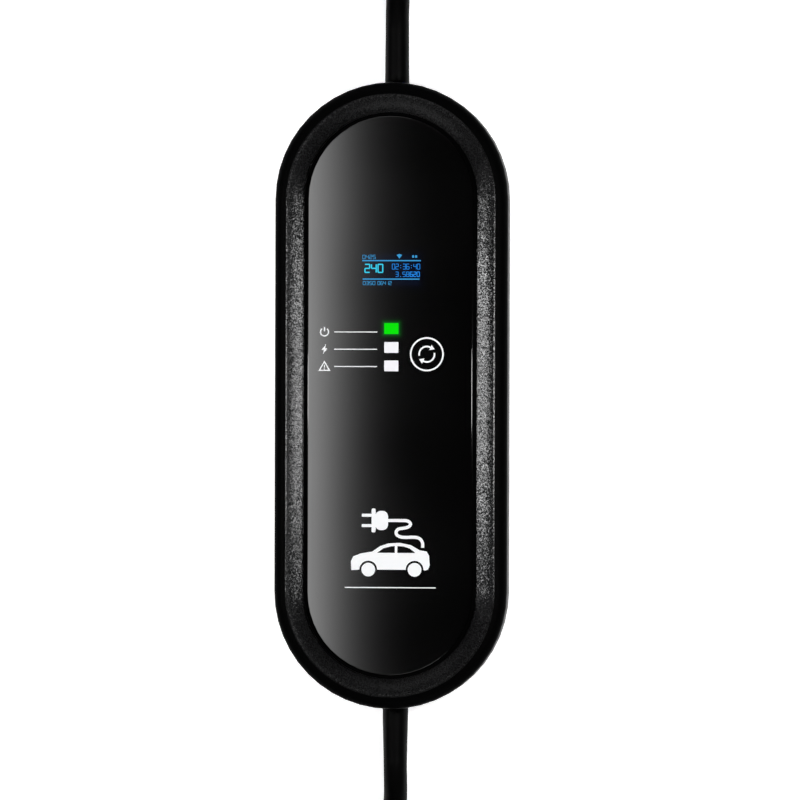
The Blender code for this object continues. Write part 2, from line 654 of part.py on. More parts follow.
def housing_gasket():
    """Seal in the tub's groove."""
    outer = HALF_WIDTH - GROOVE_INSET - GAP
    inner = outer - GROOVE_WIDTH + 2 * GAP
    low = SPLIT_HEIGHT - GROOVE_DEPTH + GAP
    profile = [(inner, low), (outer, low), (outer, SPLIT_HEIGHT), (inner, SPLIT_HEIGHT)]
    swept_round("housing_gasket", profile, RUBBER, closed=True)


def front_panel():
    """Glossy panel and the adhesive frame that holds it in the recess."""
    edge = PANEL_RADIUS - PANEL_CHAMFER
    profile = [
        (edge, PANEL_BACK),
        (PANEL_RADIUS, PANEL_BACK + PANEL_CHAMFER),
        (PANEL_RADIUS, PANEL_TOP - PANEL_CHAMFER),
        (edge, PANEL_TOP),
    ]
    swept_round("front_panel", profile, PANEL)
    low = LID_FLOOR_TOP + GAP
    high = low + ADHESIVE_THICKNESS
    inner = edge - ADHESIVE_WIDTH
    frame = [(inner, low), (edge, low), (edge, high), (inner, high)]
    swept_round("panel_adhesive", frame, FOAM, closed=True, steps=COARSE_STEPS)


def display_board(stakes):
    """Board under the lid with the display, the light guides and the touch spring."""
    low = DISPLAY_BOARD_TOP - BOARD_THICKNESS
    outline = rounded_rectangle(DISPLAY_BOARD_LOW, DISPLAY_BOARD_HIGH, BOARD_CORNER)
    board = as_mesh(plate("display_board", outline, low, DISPLAY_BOARD_TOP, BOARD))
    cut(board, uprights("stake_holes", stakes, STAKE_PIN_RADIUS + GAP, low - WALL,
                        DISPLAY_BOARD_TOP + WALL, BOARD))
    seat = DISPLAY_BOARD_TOP + GAP
    seated_block("display_module", DISPLAY_CENTRE, DISPLAY_MODULE, seat, GLASS, PART_EDGE)
    guide = (*LIGHT_SIZE, PANEL_BACK - GAP - seat)
    for name, y in LIGHT_SPOTS.items():
        seated_block(f"light_guide_{name}", (LIGHT_X, y), guide, seat, DIFFUSER, PART_EDGE)
    rise = PANEL_BACK - GAP - seat - SPRING_WIRE
    count = SPRING_TURNS * SPRING_POINTS
    helix = []
    for i in range(count + 1):
        angle = 2 * math.pi * i / SPRING_POINTS
        helix.append((TOUCH_CENTRE[0] + SPRING_RADIUS * math.cos(angle),
                      TOUCH_CENTRE[1] + SPRING_RADIUS * math.sin(angle),
                      seat + SPRING_WIRE / 2 + rise * i / count))
    tube("touch_spring", helix, SPRING_WIRE, STEEL, 1)
    display_cable(low)


def display_cable(board_bottom):
    """Ribbon that bows from the main board up to the display board."""
    low = PART_SEAT
    high = board_bottom - GAP
    steps = 8
    bend = bpy.data.curves.new("display_cable", "CURVE")
    bend.dimensions = "2D"
    bend.fill_mode = "NONE"
    bend.extrude = RIBBON_WIDTH / 2
    spline = bend.splines.new("POLY")
    spline.points.add(steps)
    for i, point in enumerate(spline.points):
        share = i / steps
        bow = RIBBON_BULGE * math.sin(math.pi * share)
        point.co = (RIBBON_Y - bow, low + (high - low) * share, 0, 1)
    ribbon = place(bpy.data.objects.new("display_cable", bend), WIRE_GREY)
    ribbon.rotation_euler = (math.pi / 2, 0, math.pi / 2)
    ribbon.location.x = DISPLAY_BOARD_LOW[0] + RIBBON_WIDTH
    body = ribbon.modifiers.new("body", "SOLIDIFY")
    body.thickness = RIBBON_THICKNESS
    body.offset = 0


def main_board():
    """Main board with relays, coil, supply parts and terminal blocks."""
    outline = rounded_rectangle((-BOARD_HALF[0], -BOARD_HALF[1]), BOARD_HALF, BOARD_CORNER)
    board = as_mesh(plate("main_board", outline, MAIN_BOARD_LOW, MAIN_BOARD_TOP, BOARD))
    cut(board, uprights("board_holes", STANDOFF_SPOTS, SCREW_RADIUS + GAP, STANDOFF_TOP,
                        MAIN_BOARD_TOP + WALL, BOARD))
    for name, x in RELAY_X.items():
        seated_block(f"relay_{name}", (x, RELAY_Y), RELAY_SIZE, PART_SEAT, RELAY, PART_EDGE)
    seated_block("power_module", (POWER_MODULE_X, MODULE_Y), POWER_MODULE_SIZE, PART_SEAT, BLACK, PART_EDGE)
    seated_block("filter_capacitor", (FILTER_X, FILTER_Y), FILTER_SIZE, PART_SEAT, YELLOW, PART_EDGE)
    uprights("bulk_capacitor", [(BULK_X, BULK_Y)], BULK_RADIUS, PART_SEAT, PART_SEAT + BULK_HEIGHT,
             ALUMINIUM, 20)
    for name, side, ways in (("supply", 1, 3), ("vehicle", -1, 4)):
        size = ((ways - 1) * TERMINAL_PITCH + 2 * TERMINAL_EDGE, TERMINAL_DEPTH, TERMINAL_HEIGHT)
        seated_block(f"terminal_block_{name}", (0, side * TERMINAL_Y), size, PART_SEAT, GREEN, PART_EDGE)
    half = COIL_THICKNESS / 2
    ring = [(COIL_RADIUS, half), (COIL_RADIUS, -half), (COIL_BORE, -half), (COIL_BORE, half)]
    where = Matrix.Translation((0, COIL_Y, PART_SEAT + COIL_RADIUS)) @ Matrix.Rotation(math.pi / 2, 4, "X")
    turned("residual_current_coil", ring, YELLOW, where, closed=True)


def wire(name, start, through, end):
    """An insulated core that leaves and arrives along Y, by way of the points between."""
    side = math.copysign(WIRE_DIAMETER, start[1])
    leave = (start[0], start[1] - side, start[2])
    arrive = (end[0], end[1] + side, end[2])
    thick = PILOT_WIRE_DIAMETER if name.endswith("pilot") else WIRE_DIAMETER
    route = smooth_route([start, leave, *through, arrive, end], WIRE_POINT_SPACING)
    tube(name, route, thick, WIRES[name.split("_")[-1]], 1)


def wires():
    """Insulated cores from the sheath ends to the terminal blocks."""
    coil_height = PART_SEAT + COIL_RADIUS
    clamp = PART_SEAT + CLAMP_HEIGHT
    start = SHEATH_END - GAP
    end = TERMINAL_Y + TERMINAL_DEPTH / 2 + GAP
    spread = 1.4 * WIRE_DIAMETER / 2
    coil_near = COIL_Y + COIL_THICKNESS / 2
    coil_far = COIL_Y - COIL_THICKNESS / 2
    for name, side, slot in (("line", -1, -1), ("neutral", 1, 0)):
        x = side * spread
        wire(f"supply_wire_{name}", (x, start, CORD_HEIGHT),
             [(x, coil_near, coil_height), (x, coil_far, coil_height)],
             (slot * TERMINAL_PITCH, end, clamp))
    beside = COIL_RADIUS + 1.5 * WIRE_DIAMETER
    wire("supply_wire_earth", (0, start, CORD_HEIGHT - WIRE_DIAMETER),
         [(0.7 * beside, coil_near + 2 * WIRE_DIAMETER, CORD_HEIGHT), (beside, COIL_Y, CORD_HEIGHT)],
         (TERMINAL_PITCH, end, clamp))
    cores = (("line", -spread, 0, -1.5), ("neutral", spread, 0, 0.5),
             ("earth", 0, -WIRE_DIAMETER, -0.5), ("pilot", 0, WIRE_DIAMETER, 1.5))
    for name, x, rise, slot in cores:
        across = slot * TERMINAL_PITCH
        halfway = ((x + across) / 2, -(start + end) / 2, CORD_HEIGHT + rise / 2)
        wire(f"vehicle_wire_{name}", (x, -start, CORD_HEIGHT + rise), [halfway], (across, -end, clamp))


def screws():
    """Pan-head screws: six that hold the housings, from the back, and four on the board."""
    def screw(name, length, where):
        profile = [
            (0, length), (SCREW_RADIUS, length), (SCREW_RADIUS, 0), (HEAD_RADIUS, 0),
            (HEAD_RADIUS, -HEAD_HEIGHT / 2), (HEAD_RADIUS - HEAD_HEIGHT / 4, -HEAD_HEIGHT),
            (0, -HEAD_HEIGHT),
        ]
        turned(name, profile, STEEL, where, SCREW_STEPS)

    seat = HEAD_RECESS - GAP
    for i, (x, y) in enumerate(SCREW_SPOTS):
        screw(f"housing_screw_{i + 1}", HOUSING_SCREW_REACH - seat, Matrix.Translation((x, y, seat)))
    over = Matrix.Rotation(math.pi, 4, "X")
    for i, (x, y) in enumerate(STANDOFF_SPOTS):
        screw(f"board_screw_{i + 1}", PART_SEAT - BOARD_SCREW_END,
              Matrix.Translation((x, y, PART_SEAT)) @ over)


def strain_reliefs():
    """Tapered boots, each with a flange behind its seat and the end of the sheath inside."""
    seat = SEAT_FACE - GAP
    for name, side in (("supply", 1), ("vehicle", -1)):
        base = BOOT_BASE_RADIUS[name]
        profile = [
            (0, BOOT_END), (BOOT_TIP_RADIUS, BOOT_END), (base, WALL_FACE), (base, seat),
            (BOOT_FLANGE_RADIUS, seat), (BOOT_FLANGE_RADIUS, seat - BOOT_FLANGE),
            (CORD_DIAMETER / 2, seat - BOOT_FLANGE), (CORD_DIAMETER / 2, SHEATH_END), (0, SHEATH_END),
        ]
        where = Matrix.Translation((0, 0, CORD_HEIGHT)) @ Matrix.Rotation(-side * math.pi / 2, 4, "X")
        turned(f"{name}_strain_relief", profile, RUBBER, where, 16)


def between(start, end, shares):
    """Points that lie at shares of the way from one point to another, each axis on its own."""
    return [[a + (b - a) * share for a, b, share in zip(start, end, point)] for point in shares]


def supply_route():
    """Down from the box, along the floor, then half a turn up into the plug's tail."""
    route = between(SUPPLY_START, TURN_START, SUPPLY_WAY)
    radius = (LEAD_X - PLUG_X) / 2
    for i, rise in enumerate(TURN_RISE):
        angle = math.pi * i / (len(TURN_RISE) - 1)
        route.append([PLUG_X + radius * (1 + math.cos(angle)), TURN_START[1] + radius * math.sin(angle),
                      LYING + (PLUG_Z - LYING) * rise])
    straight = (PLUG_X, (TURN_START[1] + SUPPLY_END[1]) / 2, PLUG_Z)
    return [*route, straight, SUPPLY_END]


def cords():
    """Free cords, the hank that holds most of the vehicle cable, and its strap."""
    for name, route in (("supply_cord", supply_route()),
                        ("vehicle_cable", between(VEHICLE_START, VEHICLE_END, VEHICLE_WAY)),
                        ("vehicle_cable_tail", between(TAIL_START, TAIL_END, TAIL_WAY))):
        tube(name, smooth_route(route, CORD_POINT_SPACING), CORD_DIAMETER, SHEATH)
    outline = round_ended(HANK_RADIUS, HANK_NEAR_CENTRE, HANK_FAR_CENTRE, COARSE_STEPS)
    as_mesh(plate("vehicle_cable_hank", outline, HANK_LOW, HANK_TOP, SHEATH))
    middle = (HANK_NEAR_END + HANK_FAR_END) / 2
    inner = HANK_RADIUS + GAP
    outer = inner + STRAP_THICKNESS
    low = (-outer, middle - STRAP_WIDTH / 2, 0)
    high = (outer, middle + STRAP_WIDTH / 2, HANK_TOP + GAP + STRAP_THICKNESS)
    strap = block("hank_strap", low, high, STRAP)
    cut(strap, block("strap_inside", (-inner, low[1] - WALL, STRAP_THICKNESS),
                     (inner, high[1] + WALL, HANK_TOP + GAP), STRAP))


def mains_plug():
    """Round-pin plug: open shroud with three pins, housing with its ring, gland nut."""
    where = Matrix.Translation((PLUG_X, PLUG_MOUTH, PLUG_Z)) @ Matrix.Rotation(-math.pi / 2, 4, "X")
    bore = SHROUD_RADIUS - SHROUD_WALL
    round_over = PLUG_RING_WIDTH / 6
    shroud = turned("plug_shroud", [
        (0, PLUG_FLOOR), (SHROUD_RADIUS, PLUG_FLOOR), (SHROUD_RADIUS, round_over),
        (SHROUD_RADIUS - round_over, 0), (bore, 0), (bore, SHROUD_DEPTH), (0, SHROUD_DEPTH),
    ], BLUE, where, PLUG_STEPS)
    key_root = SHROUD_RADIUS - SHROUD_WALL / 2
    join(shroud, block("plug_key", (PLUG_X + key_root, PLUG_MOUTH + SHROUD_WALL, PLUG_Z - KEY_WIDTH / 2),
                       (PLUG_X + SHROUD_RADIUS + KEY_HEIGHT, PLUG_MOUTH + PLUG_FLOOR - round_over,
                        PLUG_Z + KEY_WIDTH / 2), BLUE))
    for name, (radius, bearing) in PINS.items():
        x = PLUG_X + PIN_CIRCLE * math.cos(math.radians(bearing))
        z = PLUG_Z + PIN_CIRCLE * math.sin(math.radians(bearing))
        reach = [((x, PLUG_MOUTH + SHROUD_DEPTH - WALL, z), (x, PLUG_MOUTH + PLUG_FLOOR + WALL, z))]
        cut(shroud, rods(f"{name}_pin_hole", reach, radius + GAP, BLUE, PIN_STEPS))
        pin = [(0, PLUG_FLOOR), (radius, PLUG_FLOOR), (radius, PIN_SETBACK + radius / 2),
               (radius / 2, PIN_SETBACK), (0, PIN_SETBACK)]
        centre = Matrix.Translation((x, PLUG_MOUTH, z)) @ Matrix.Rotation(-math.pi / 2, 4, "X")
        turned(f"plug_pin_{name}", pin, BRASS, centre, PIN_STEPS)
    ring_start = PLUG_FLOOR + GAP
    ring_end = ring_start + PLUG_RING_WIDTH
    turned("plug_housing", [
        (0, PLUG_NECK), (PLUG_NECK_RADIUS, PLUG_NECK), (SHROUD_RADIUS - round_over, ring_end + round_over),
        (PLUG_RING_RADIUS - round_over, ring_end), (PLUG_RING_RADIUS, ring_end - round_over),
        (PLUG_RING_RADIUS, ring_start + round_over), (PLUG_RING_RADIUS - round_over, ring_start),
        (0, ring_start),
    ], GREY, where, PLUG_STEPS)
    tail_end = PLUG_NUT_END + PLUG_TAIL_LENGTH
    turned("plug_gland_nut", [
        (0, tail_end), (BOOT_BASE_RADIUS["supply"] + GAP, tail_end), (PLUG_TAIL_RADIUS, PLUG_NUT_END),
        (PLUG_NUT_RADIUS - round_over, PLUG_NUT_END), (PLUG_NUT_RADIUS, PLUG_NUT_END - round_over),
        (PLUG_NUT_RADIUS, PLUG_NECK + GAP), (0, PLUG_NECK + GAP),
    ], GREY, where, SCREW_STEPS)


def vehicle_connector():
    """Connector: lofted body with a bent grip, nose with seven sockets, contacts, tail boot."""
    bend = CONNECTOR_TAIL_X - CONNECTOR_NOSE_X
    sections = [
        (CONNECTOR_TAIL_Y - along * CONNECTOR_LENGTH, CONNECTOR_NOSE_X + bend * lean,
         wide * GRIP_HALF_WIDTH, tall * GRIP_HALF_HEIGHT)
        for along, lean, wide, tall in GRIP_SECTIONS
    ]
    sections += [
        (CONNECTOR_TAIL_Y - along * CONNECTOR_LENGTH, CONNECTOR_NOSE_X, share * COLLAR_RADIUS,
         share * COLLAR_RADIUS)
        for along, share in COLLAR_SECTIONS
    ]
    loft("connector_body", sections, CONNECTOR_Z, BLACK)
    connector_nose()
    tail_boot()


def connector_nose():
    """Nose with a flat on one side, its sockets and the contacts in five of them."""
    towards_car = Matrix.Rotation(math.pi / 2, 4, "X")
    where = Matrix.Translation((CONNECTOR_NOSE_X, NOSE_BACK, CONNECTOR_Z)) @ towards_car
    nose = turned("connector_nose", [
        (0, NOSE_LENGTH), (NOSE_RADIUS - NOSE_CHAMFER, NOSE_LENGTH),
        (NOSE_RADIUS, NOSE_LENGTH - NOSE_CHAMFER), (NOSE_RADIUS, 0), (0, 0),
    ], BLACK, where, PLUG_STEPS)
    flat = CONNECTOR_NOSE_X + NOSE_FLAT
    cut(nose, block("nose_flat", (flat, NOSE_FACE - WALL, CONNECTOR_Z - NOSE_RADIUS),
                    (flat + NOSE_RADIUS, NOSE_BACK + WALL, CONNECTOR_Z + NOSE_RADIUS), BLACK))
    groups = ((POWER_SOCKETS, SOCKET_RADIUS, POWER_CONTACT), (SIGNAL_SOCKETS, SIGNAL_RADIUS, SIGNAL_CONTACT))
    for sockets, radius, contact in groups:
        for name, (towards_flat, across) in sockets.items():
            x = CONNECTOR_NOSE_X + towards_flat
            z = CONNECTOR_Z + across
            reach = [((x, NOSE_FACE - WALL, z), (x, NOSE_BACK - SOCKET_FLOOR, z))]
            cut(nose, rods(f"{name}_socket", reach, radius, BLACK, PIN_STEPS))
            if name not in EMPTY_SOCKETS:
                connector_contact(name, x, z, contact)


def connector_contact(name, x, z, radii):
    """Sleeve contact at the bottom of its socket."""
    outer, inner = radii
    low = SOCKET_FLOOR + GAP
    high = NOSE_LENGTH - CONTACT_SETBACK
    where = Matrix.Translation((x, NOSE_BACK, z)) @ Matrix.Rotation(math.pi / 2, 4, "X")
    sleeve = [(outer, high), (outer, low), (0, low), (0, low + inner), (inner, low + inner), (inner, high)]
    turned(f"connector_contact_{name}", sleeve, BRASS, where, PIN_STEPS, closed=True)


def tail_boot():
    """Flexible boot with ribs where the cable enters the connector."""
    tip, root = TAIL_BOOT_RADII
    pitch = TAIL_BOOT_LENGTH / TAIL_BOOT_RIBS
    profile = [(0, TAIL_BOOT_LENGTH)]
    for i in range(TAIL_BOOT_RIBS):
        radius = tip + (root - tip) * i / (TAIL_BOOT_RIBS - 1)
        top = TAIL_BOOT_LENGTH - i * pitch
        rib_end = top - RIB_SHARE * pitch
        profile += [(radius, top), (radius, rib_end)]
        if i < TAIL_BOOT_RIBS - 1:
            waist = radius - (tip - CORD_DIAMETER / 2) / 2
            profile += [(waist, rib_end - GAP), (waist, top - pitch + GAP)]
    profile += [(root, 0), (0, 0)]
    start = CONNECTOR_TAIL_Y + GAP
    where = Matrix.Translation((CONNECTOR_TAIL_X, start, CONNECTOR_Z)) @ Matrix.Rotation(-math.pi / 2, 4, "X")
    turned("connector_boot", profile, RUBBER, where, 14)


for leftover in list(bpy.data.objects):
    bpy.data.objects.remove(leftover, do_unlink=True)

PARTS = collection("portable_ev_charger")
CUTTERS = collection("cutters")

SHELL = material("black_shell", (0.012, 0.012, 0.013), 0.42)
PANEL = material("smoked_panel", (0.004, 0.004, 0.005), 0.06)
RUBBER = material("black_rubber", (0.016, 0.016, 0.017), 0.6)
SHEATH = material("cable_sheath", (0.014, 0.014, 0.015), 0.5)
FOAM = material("adhesive_foam", (0.05, 0.05, 0.05), 0.9)
BOARD = material("circuit_board", (0.01, 0.12, 0.05), 0.4)
GLASS = material("display_glass", (0.01, 0.012, 0.02), 0.08)
DIFFUSER = material("light_diffuser", (0.85, 0.86, 0.88), 0.4)
STEEL = material("plated_steel", (0.55, 0.55, 0.56), 0.3, 1.0)
BRASS = material("nickel_brass", (0.72, 0.68, 0.58), 0.25, 1.0)
ALUMINIUM = material("capacitor_can", (0.6, 0.6, 0.62), 0.35, 1.0)
RELAY = material("relay_case", (0.03, 0.035, 0.04), 0.45)
BLACK = material("black_moulding", (0.013, 0.013, 0.014), 0.5)
YELLOW = material("component_yellow", (0.7, 0.5, 0.05), 0.5)
GREEN = material("terminal_green", (0.03, 0.3, 0.1), 0.5)
GREY = material("plug_grey", (0.05, 0.052, 0.055), 0.55)
BLUE = material("plug_blue", (0.02, 0.12, 0.45), 0.45)
STRAP = material("woven_strap", (0.02, 0.02, 0.021), 0.9)
WIRE_GREY = material("ribbon_grey", (0.35, 0.35, 0.36), 0.5)
WIRES = {
    "line": material("wire_brown", (0.16, 0.06, 0.025), 0.5),
    "neutral": material("wire_blue", (0.03, 0.13, 0.5), 0.5),
    "earth": material("wire_earth", (0.35, 0.5, 0.04), 0.5),
    "pilot": material("wire_black", (0.02, 0.02, 0.02), 0.5),
}

rear_housing()
front_housing()
housing_gasket()
front_panel()
main_board()
wires()
screws()
strain_reliefs()
cords()
mains_plug()
vehicle_connector()
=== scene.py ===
"""Portable charger seen straight from above on white, with its cords, finishes and printed marks.

Metres throughout. Points on the front panel are millimetres from the panel's middle.
"""
import math

import bmesh
import bpy
from mathutils import Matrix, Vector
from mathutils.geometry import interpolate_bezier

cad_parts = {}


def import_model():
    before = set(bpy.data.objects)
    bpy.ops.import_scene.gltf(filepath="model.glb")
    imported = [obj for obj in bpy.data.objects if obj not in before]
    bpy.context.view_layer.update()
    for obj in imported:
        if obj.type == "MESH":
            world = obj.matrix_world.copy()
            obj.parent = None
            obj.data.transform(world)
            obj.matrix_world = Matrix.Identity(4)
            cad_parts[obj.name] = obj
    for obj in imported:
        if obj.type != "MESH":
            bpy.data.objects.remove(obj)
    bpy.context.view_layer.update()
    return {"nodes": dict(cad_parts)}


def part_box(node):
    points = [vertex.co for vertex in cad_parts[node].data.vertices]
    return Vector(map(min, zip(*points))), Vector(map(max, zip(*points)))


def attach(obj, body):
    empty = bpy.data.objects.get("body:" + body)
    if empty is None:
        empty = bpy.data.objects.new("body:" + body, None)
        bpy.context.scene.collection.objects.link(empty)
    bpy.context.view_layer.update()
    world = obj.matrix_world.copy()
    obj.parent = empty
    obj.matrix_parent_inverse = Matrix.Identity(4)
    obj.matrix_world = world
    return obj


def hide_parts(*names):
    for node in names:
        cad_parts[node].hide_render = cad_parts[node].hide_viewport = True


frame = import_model()
NODES = frame["nodes"]

MM = 0.001
CORD_DIAMETER = 10.4 * MM

# The front. Radii run outward from the box's middle line, which joins the centres of its two round
# ends, and slopes lean outward. A pair is where something starts and where it is complete.
PANEL_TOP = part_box("front_panel")[1].z
BOX_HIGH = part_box("front_housing")[1]
END_CENTRE = BOX_HIGH.y - BOX_HIGH.x
PANEL_RADIUS = 36.2 * MM
PANEL_EDGE = (PANEL_RADIUS - 0.5 * MM, PANEL_RADIUS - 0.35 * MM)
PANEL_EDGE_SLOPE = 0.26
RING_INNER = 37.8 * MM
RING_OUTER = 45.7 * MM
RING_BORDER = (RING_OUTER - 0.15 * MM, RING_OUTER + 0.1 * MM)
RING_FOOT = (PANEL_TOP - 1.3 * MM, PANEL_TOP - 1.1 * MM)
RING_SLOPE = 0.33
RIM = (RING_OUTER - 0.75 * MM, RING_OUTER - 0.4 * MM)
RIM_SLOPE = 0.26
# The dark band is painted shade: where the upward part of the surface's normal passes these, the
# housing's reflection is cut
BAND_RISE = (0.03, 0.3)

# Surface of the housing: grains, tints, roughness and specular levels
GRAIN = 0.37 * MM
GRAIN_TILT = 0.12
SHELL_GRAIN = 0.8 * MM
SHELL_GRAIN_DEPTH = 0.03 * MM
SHELL_TINT = (0.0012, 0.0012, 0.0013)
GRAIN_TINTS = ((0.002, 0.002, 0.002), (0.01, 0.01, 0.0105))
SHELL_ROUGHNESS = 0.44
RING_ROUGHNESS = 0.18
ROUGHNESS_SPREAD = 0.02
SHELL_SPECULAR = 0.3
# Painted shade: the specular level drops this much on the upward-facing band, so its reflection is
# cut
BAND_SHADE_DROP = 0.29
SPECK_DROP = 0.11

# Lit windows, read-out and printed marks on the front: millimetres from the panel's middle
WINDOW_X = 0.6
WINDOW_SIZE = (6.2, 4.7)
WINDOW_ROWS = {"power": 29.1, "charging": 20.9, "fault": 12.9}
KEY_CENTRE = (16.1, 18.0)
DISPLAY_MIDDLE = (0.6, 54.6)
DISPLAY_GLOW_SIZE = (23, 12)
SYMBOL_X = -28.6
SYMBOL_ROWS = (27.6, 20.1, 12.6)
PRINT_LIFT = 0.03 * MM

# Meshes: edges under the first two limits are shaded smooth, and edges over the third are bevelled
SMOOTH_LIMIT = math.radians(32)
PRINT_LIMIT = math.radians(35)
BEVEL_LIMIT = math.radians(25)
MERGE_DISTANCE = 0.001 * MM
CORD_SIDES = 8

# Camera over the box, a little to its right
CAMERA_DISTANCE = 2.5
CAMERA_TURN = math.radians(5.6)
CAMERA_ROLL = math.radians(0.165)
CAMERA_TARGET = (3.5 * MM, -1.9 * MM, 38 * MM)
FRAME_WIDTH = 348.7 * MM
SENSOR_WIDTH = 36

# Lamps: name, place, target, size and watts. The side lamps light the ring's straight sides, the far
# and near lamps its round ends, and the two low end lamps the walls and the pieces on the floor.
LAMPS = (
    ("left_lamp", (-0.462, 0.004, 0.691), (0, 0.004, 0), (0.34, 0.04), 2.0),
    ("right_lamp", (0.298, 0.004, 0.691), (0, 0.004, 0), (0.32, 0.04), 2.25),
    ("far_lamp", (0, 1.0, 2.0), (0, 0, 0), (1.2, 0.5), 1.6),
    ("near_lamp", (0, -1.0, 2.0), (0, 0, 0), (1.2, 0.5), 0.8),
    ("near_end_lamp", (0.5, -2.0, 0.9), (0, -0.2, 0.05), (1.8, 0.6), 10),
    ("far_end_lamp", (-0.5, 2.0, 0.9), (0, 0.2, 0.05), (1.8, 0.6), 10),
)

# Lamp that the gloss panel mirrors. Between two shares of its width, CARD_FADE, s runs from 0 to
# CARD_FADE_END and the light falls as exp(a * s + b * s * s), with a and b in CARD_FALL.
CARD_X = -0.2525
CARD_HEIGHT = 2.05
CARD_SIZE = (0.195, 0.62)
CARD_RADIANCE = 7 * math.pi
CARD_FADE = (0.414, 0.895)
CARD_FADE_END = 1.3
CARD_FALL = (-1.67, -3.66)

WORLD_STRENGTH = 0.015
FLOOR_HALF = 9
FLOOR_HEIGHT = -1e-4
FLOOR_LIGHT = 0.75

# Routes of the free cords, as in the model
SUPPLY_ROUTE = [
    (0.0000, 0.1590, 0.0190), (0.0000, 0.1622, 0.0190), (0.0000, 0.1699, 0.0183),
    (0.0003, 0.1789, 0.0164), (0.0018, 0.1879, 0.0134), (0.0047, 0.1968, 0.0098),
    (0.0095, 0.2068, 0.0069), (0.0165, 0.2179, 0.0054), (0.0266, 0.2299, 0.0053),
    (0.0367, 0.2419, 0.0053), (0.0445, 0.2539, 0.0053), (0.0501, 0.2658, 0.0053),
    (0.0532, 0.2778, 0.0053), (0.0540, 0.2919, 0.0053), (0.0540, 0.3099, 0.0053),
    (0.0540, 0.3270, 0.0053), (0.0486, 0.3472, 0.0058), (0.0338, 0.3620, 0.0084),
    (0.0135, 0.3675, 0.0140), (-0.0067, 0.3620, 0.0212), (-0.0216, 0.3472, 0.0279),
    (-0.0270, 0.3270, 0.0310), (-0.0270, 0.3239, 0.0310), (-0.0270, 0.3209, 0.0310),
]
VEHICLE_ROUTE = [
    (0.0000, -0.1590, 0.0190), (0.0000, -0.1619, 0.0190), (0.0000, -0.1690, 0.0179),
    (-0.0004, -0.1780, 0.0145), (-0.0026, -0.1888, 0.0103), (-0.0066, -0.1977, 0.0074),
    (-0.0080, -0.2012, 0.0065), (-0.0126, -0.2067, 0.0065), (-0.0183, -0.2115, 0.0065),
]
TAIL_ROUTE = [
    (0.0520, -0.3118, 0.0495), (0.0520, -0.2959, 0.0495), (0.0520, -0.2799, 0.0495),
    (0.0515, -0.2621, 0.0499), (0.0468, -0.2431, 0.0514), (0.0340, -0.2306, 0.0539),
    (0.0180, -0.2266, 0.0570), (0.0020, -0.2306, 0.0600), (-0.0110, -0.2412, 0.0624),
    (-0.0158, -0.2528, 0.0632), (-0.0160, -0.2589, 0.0632), (-0.0160, -0.2654, 0.0632),
]

# Winding of the hank: a racetrack between two end centres, counted in quarters of a turn that
# start at its near right corner. Each change is (from, to, columns outward, layers up).
HANK_NEAR = -0.2610
HANK_FAR = -0.3266
HANK_COLUMN = 0.0520
HANK_FLOOR = 0.0065
HANK_START = 0.6494
HANK_END = 43.2256
HANK_STEPS = 12
HANK_CHANGES = (
    (3, 4, -1, 0), (7, 8, -1, 0), (10.6, 11.4, 0, 1), (14.3, 15.3, 1, 0), (18.3, 19.3, 1, 0),
    (22.1, 22.9, 0, 1), (25.8, 26.8, -1, 0), (29.8, 30.8, -1, 0), (33.6, 34.4, 0, 1),
    (37.3, 38.3, 1, 0), (41.3, 42.3, 1, 0), (42.55, HANK_END, 0, 1.135),
)


def smooth_step(value):
    """0 below 0, 1 above 1, and a smooth rise between them."""
    value = min(max(value, 0), 1)
    return value * value * (3 - 2 * value)


def smooth_route(route, steps=6):
    """Points on a smooth curve through the route's points."""
    spots = [Vector(spot) for spot in route]
    padded = [2 * spots[0] - spots[1], *spots, 2 * spots[-1] - spots[-2]]
    fine = [spots[0]]
    for before, start, end, after in zip(padded, padded[1:], padded[2:], padded[3:]):
        third = (end - start).length / 3
        leave = start + (end - before).normalized() * third
        arrive = end - (after - start).normalized() * third
        fine.extend(interpolate_bezier(start, leave, arrive, end, steps)[1:])
    return fine


def winding():
    """Centreline of the hank's turns, from where the lead joins it to where the tail leaves it."""
    def spot(quarters):
        share = quarters % 4
        shifts = [(smooth_step((quarters - start) / (end - start)), out, up)
                  for start, end, out, up in HANK_CHANGES]
        radius = HANK_COLUMN + CORD_DIAMETER * sum(done * out for done, out, up in shifts)
        height = HANK_FLOOR + CORD_DIAMETER * sum(done * up for done, out, up in shifts)
        if share < 1:
            angle = math.pi * share
            return Vector((radius * math.cos(angle), HANK_NEAR + radius * math.sin(angle), height))
        if share < 2:
            return Vector((-radius, HANK_NEAR + (HANK_FAR - HANK_NEAR) * (share - 1), height))
        if share < 3:
            angle = math.pi * (share - 1)
            return Vector((radius * math.cos(angle), HANK_FAR + radius * math.sin(angle), height))
        return Vector((radius, HANK_FAR + (HANK_NEAR - HANK_FAR) * (share - 3), height))

    count = round((HANK_END - HANK_START) * HANK_STEPS)
    return [spot(HANK_START + (HANK_END - HANK_START) * i / count) for i in range(count)]


def link(thing, finish):
    """Put a new piece in the scene with its material and let it ride with the root."""
    thing.data.materials.append(finish)
    bpy.context.scene.collection.objects.link(thing)
    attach(thing, "root")
    return thing


def tube(name, points, diameter, finish):
    """A round piece along points, as one open spline."""
    curve = bpy.data.curves.new(name, "CURVE")
    curve.dimensions = "3D"
    curve.bevel_depth = diameter / 2
    curve.bevel_resolution = CORD_SIDES
    curve.use_fill_caps = True
    spline = curve.splines.new("POLY")
    spline.points.add(len(points) - 1)
    for point, spot in zip(spline.points, points):
        point.co = (*spot, 1)
    spline.use_smooth = True
    return link(bpy.data.objects.new(name, curve), finish)


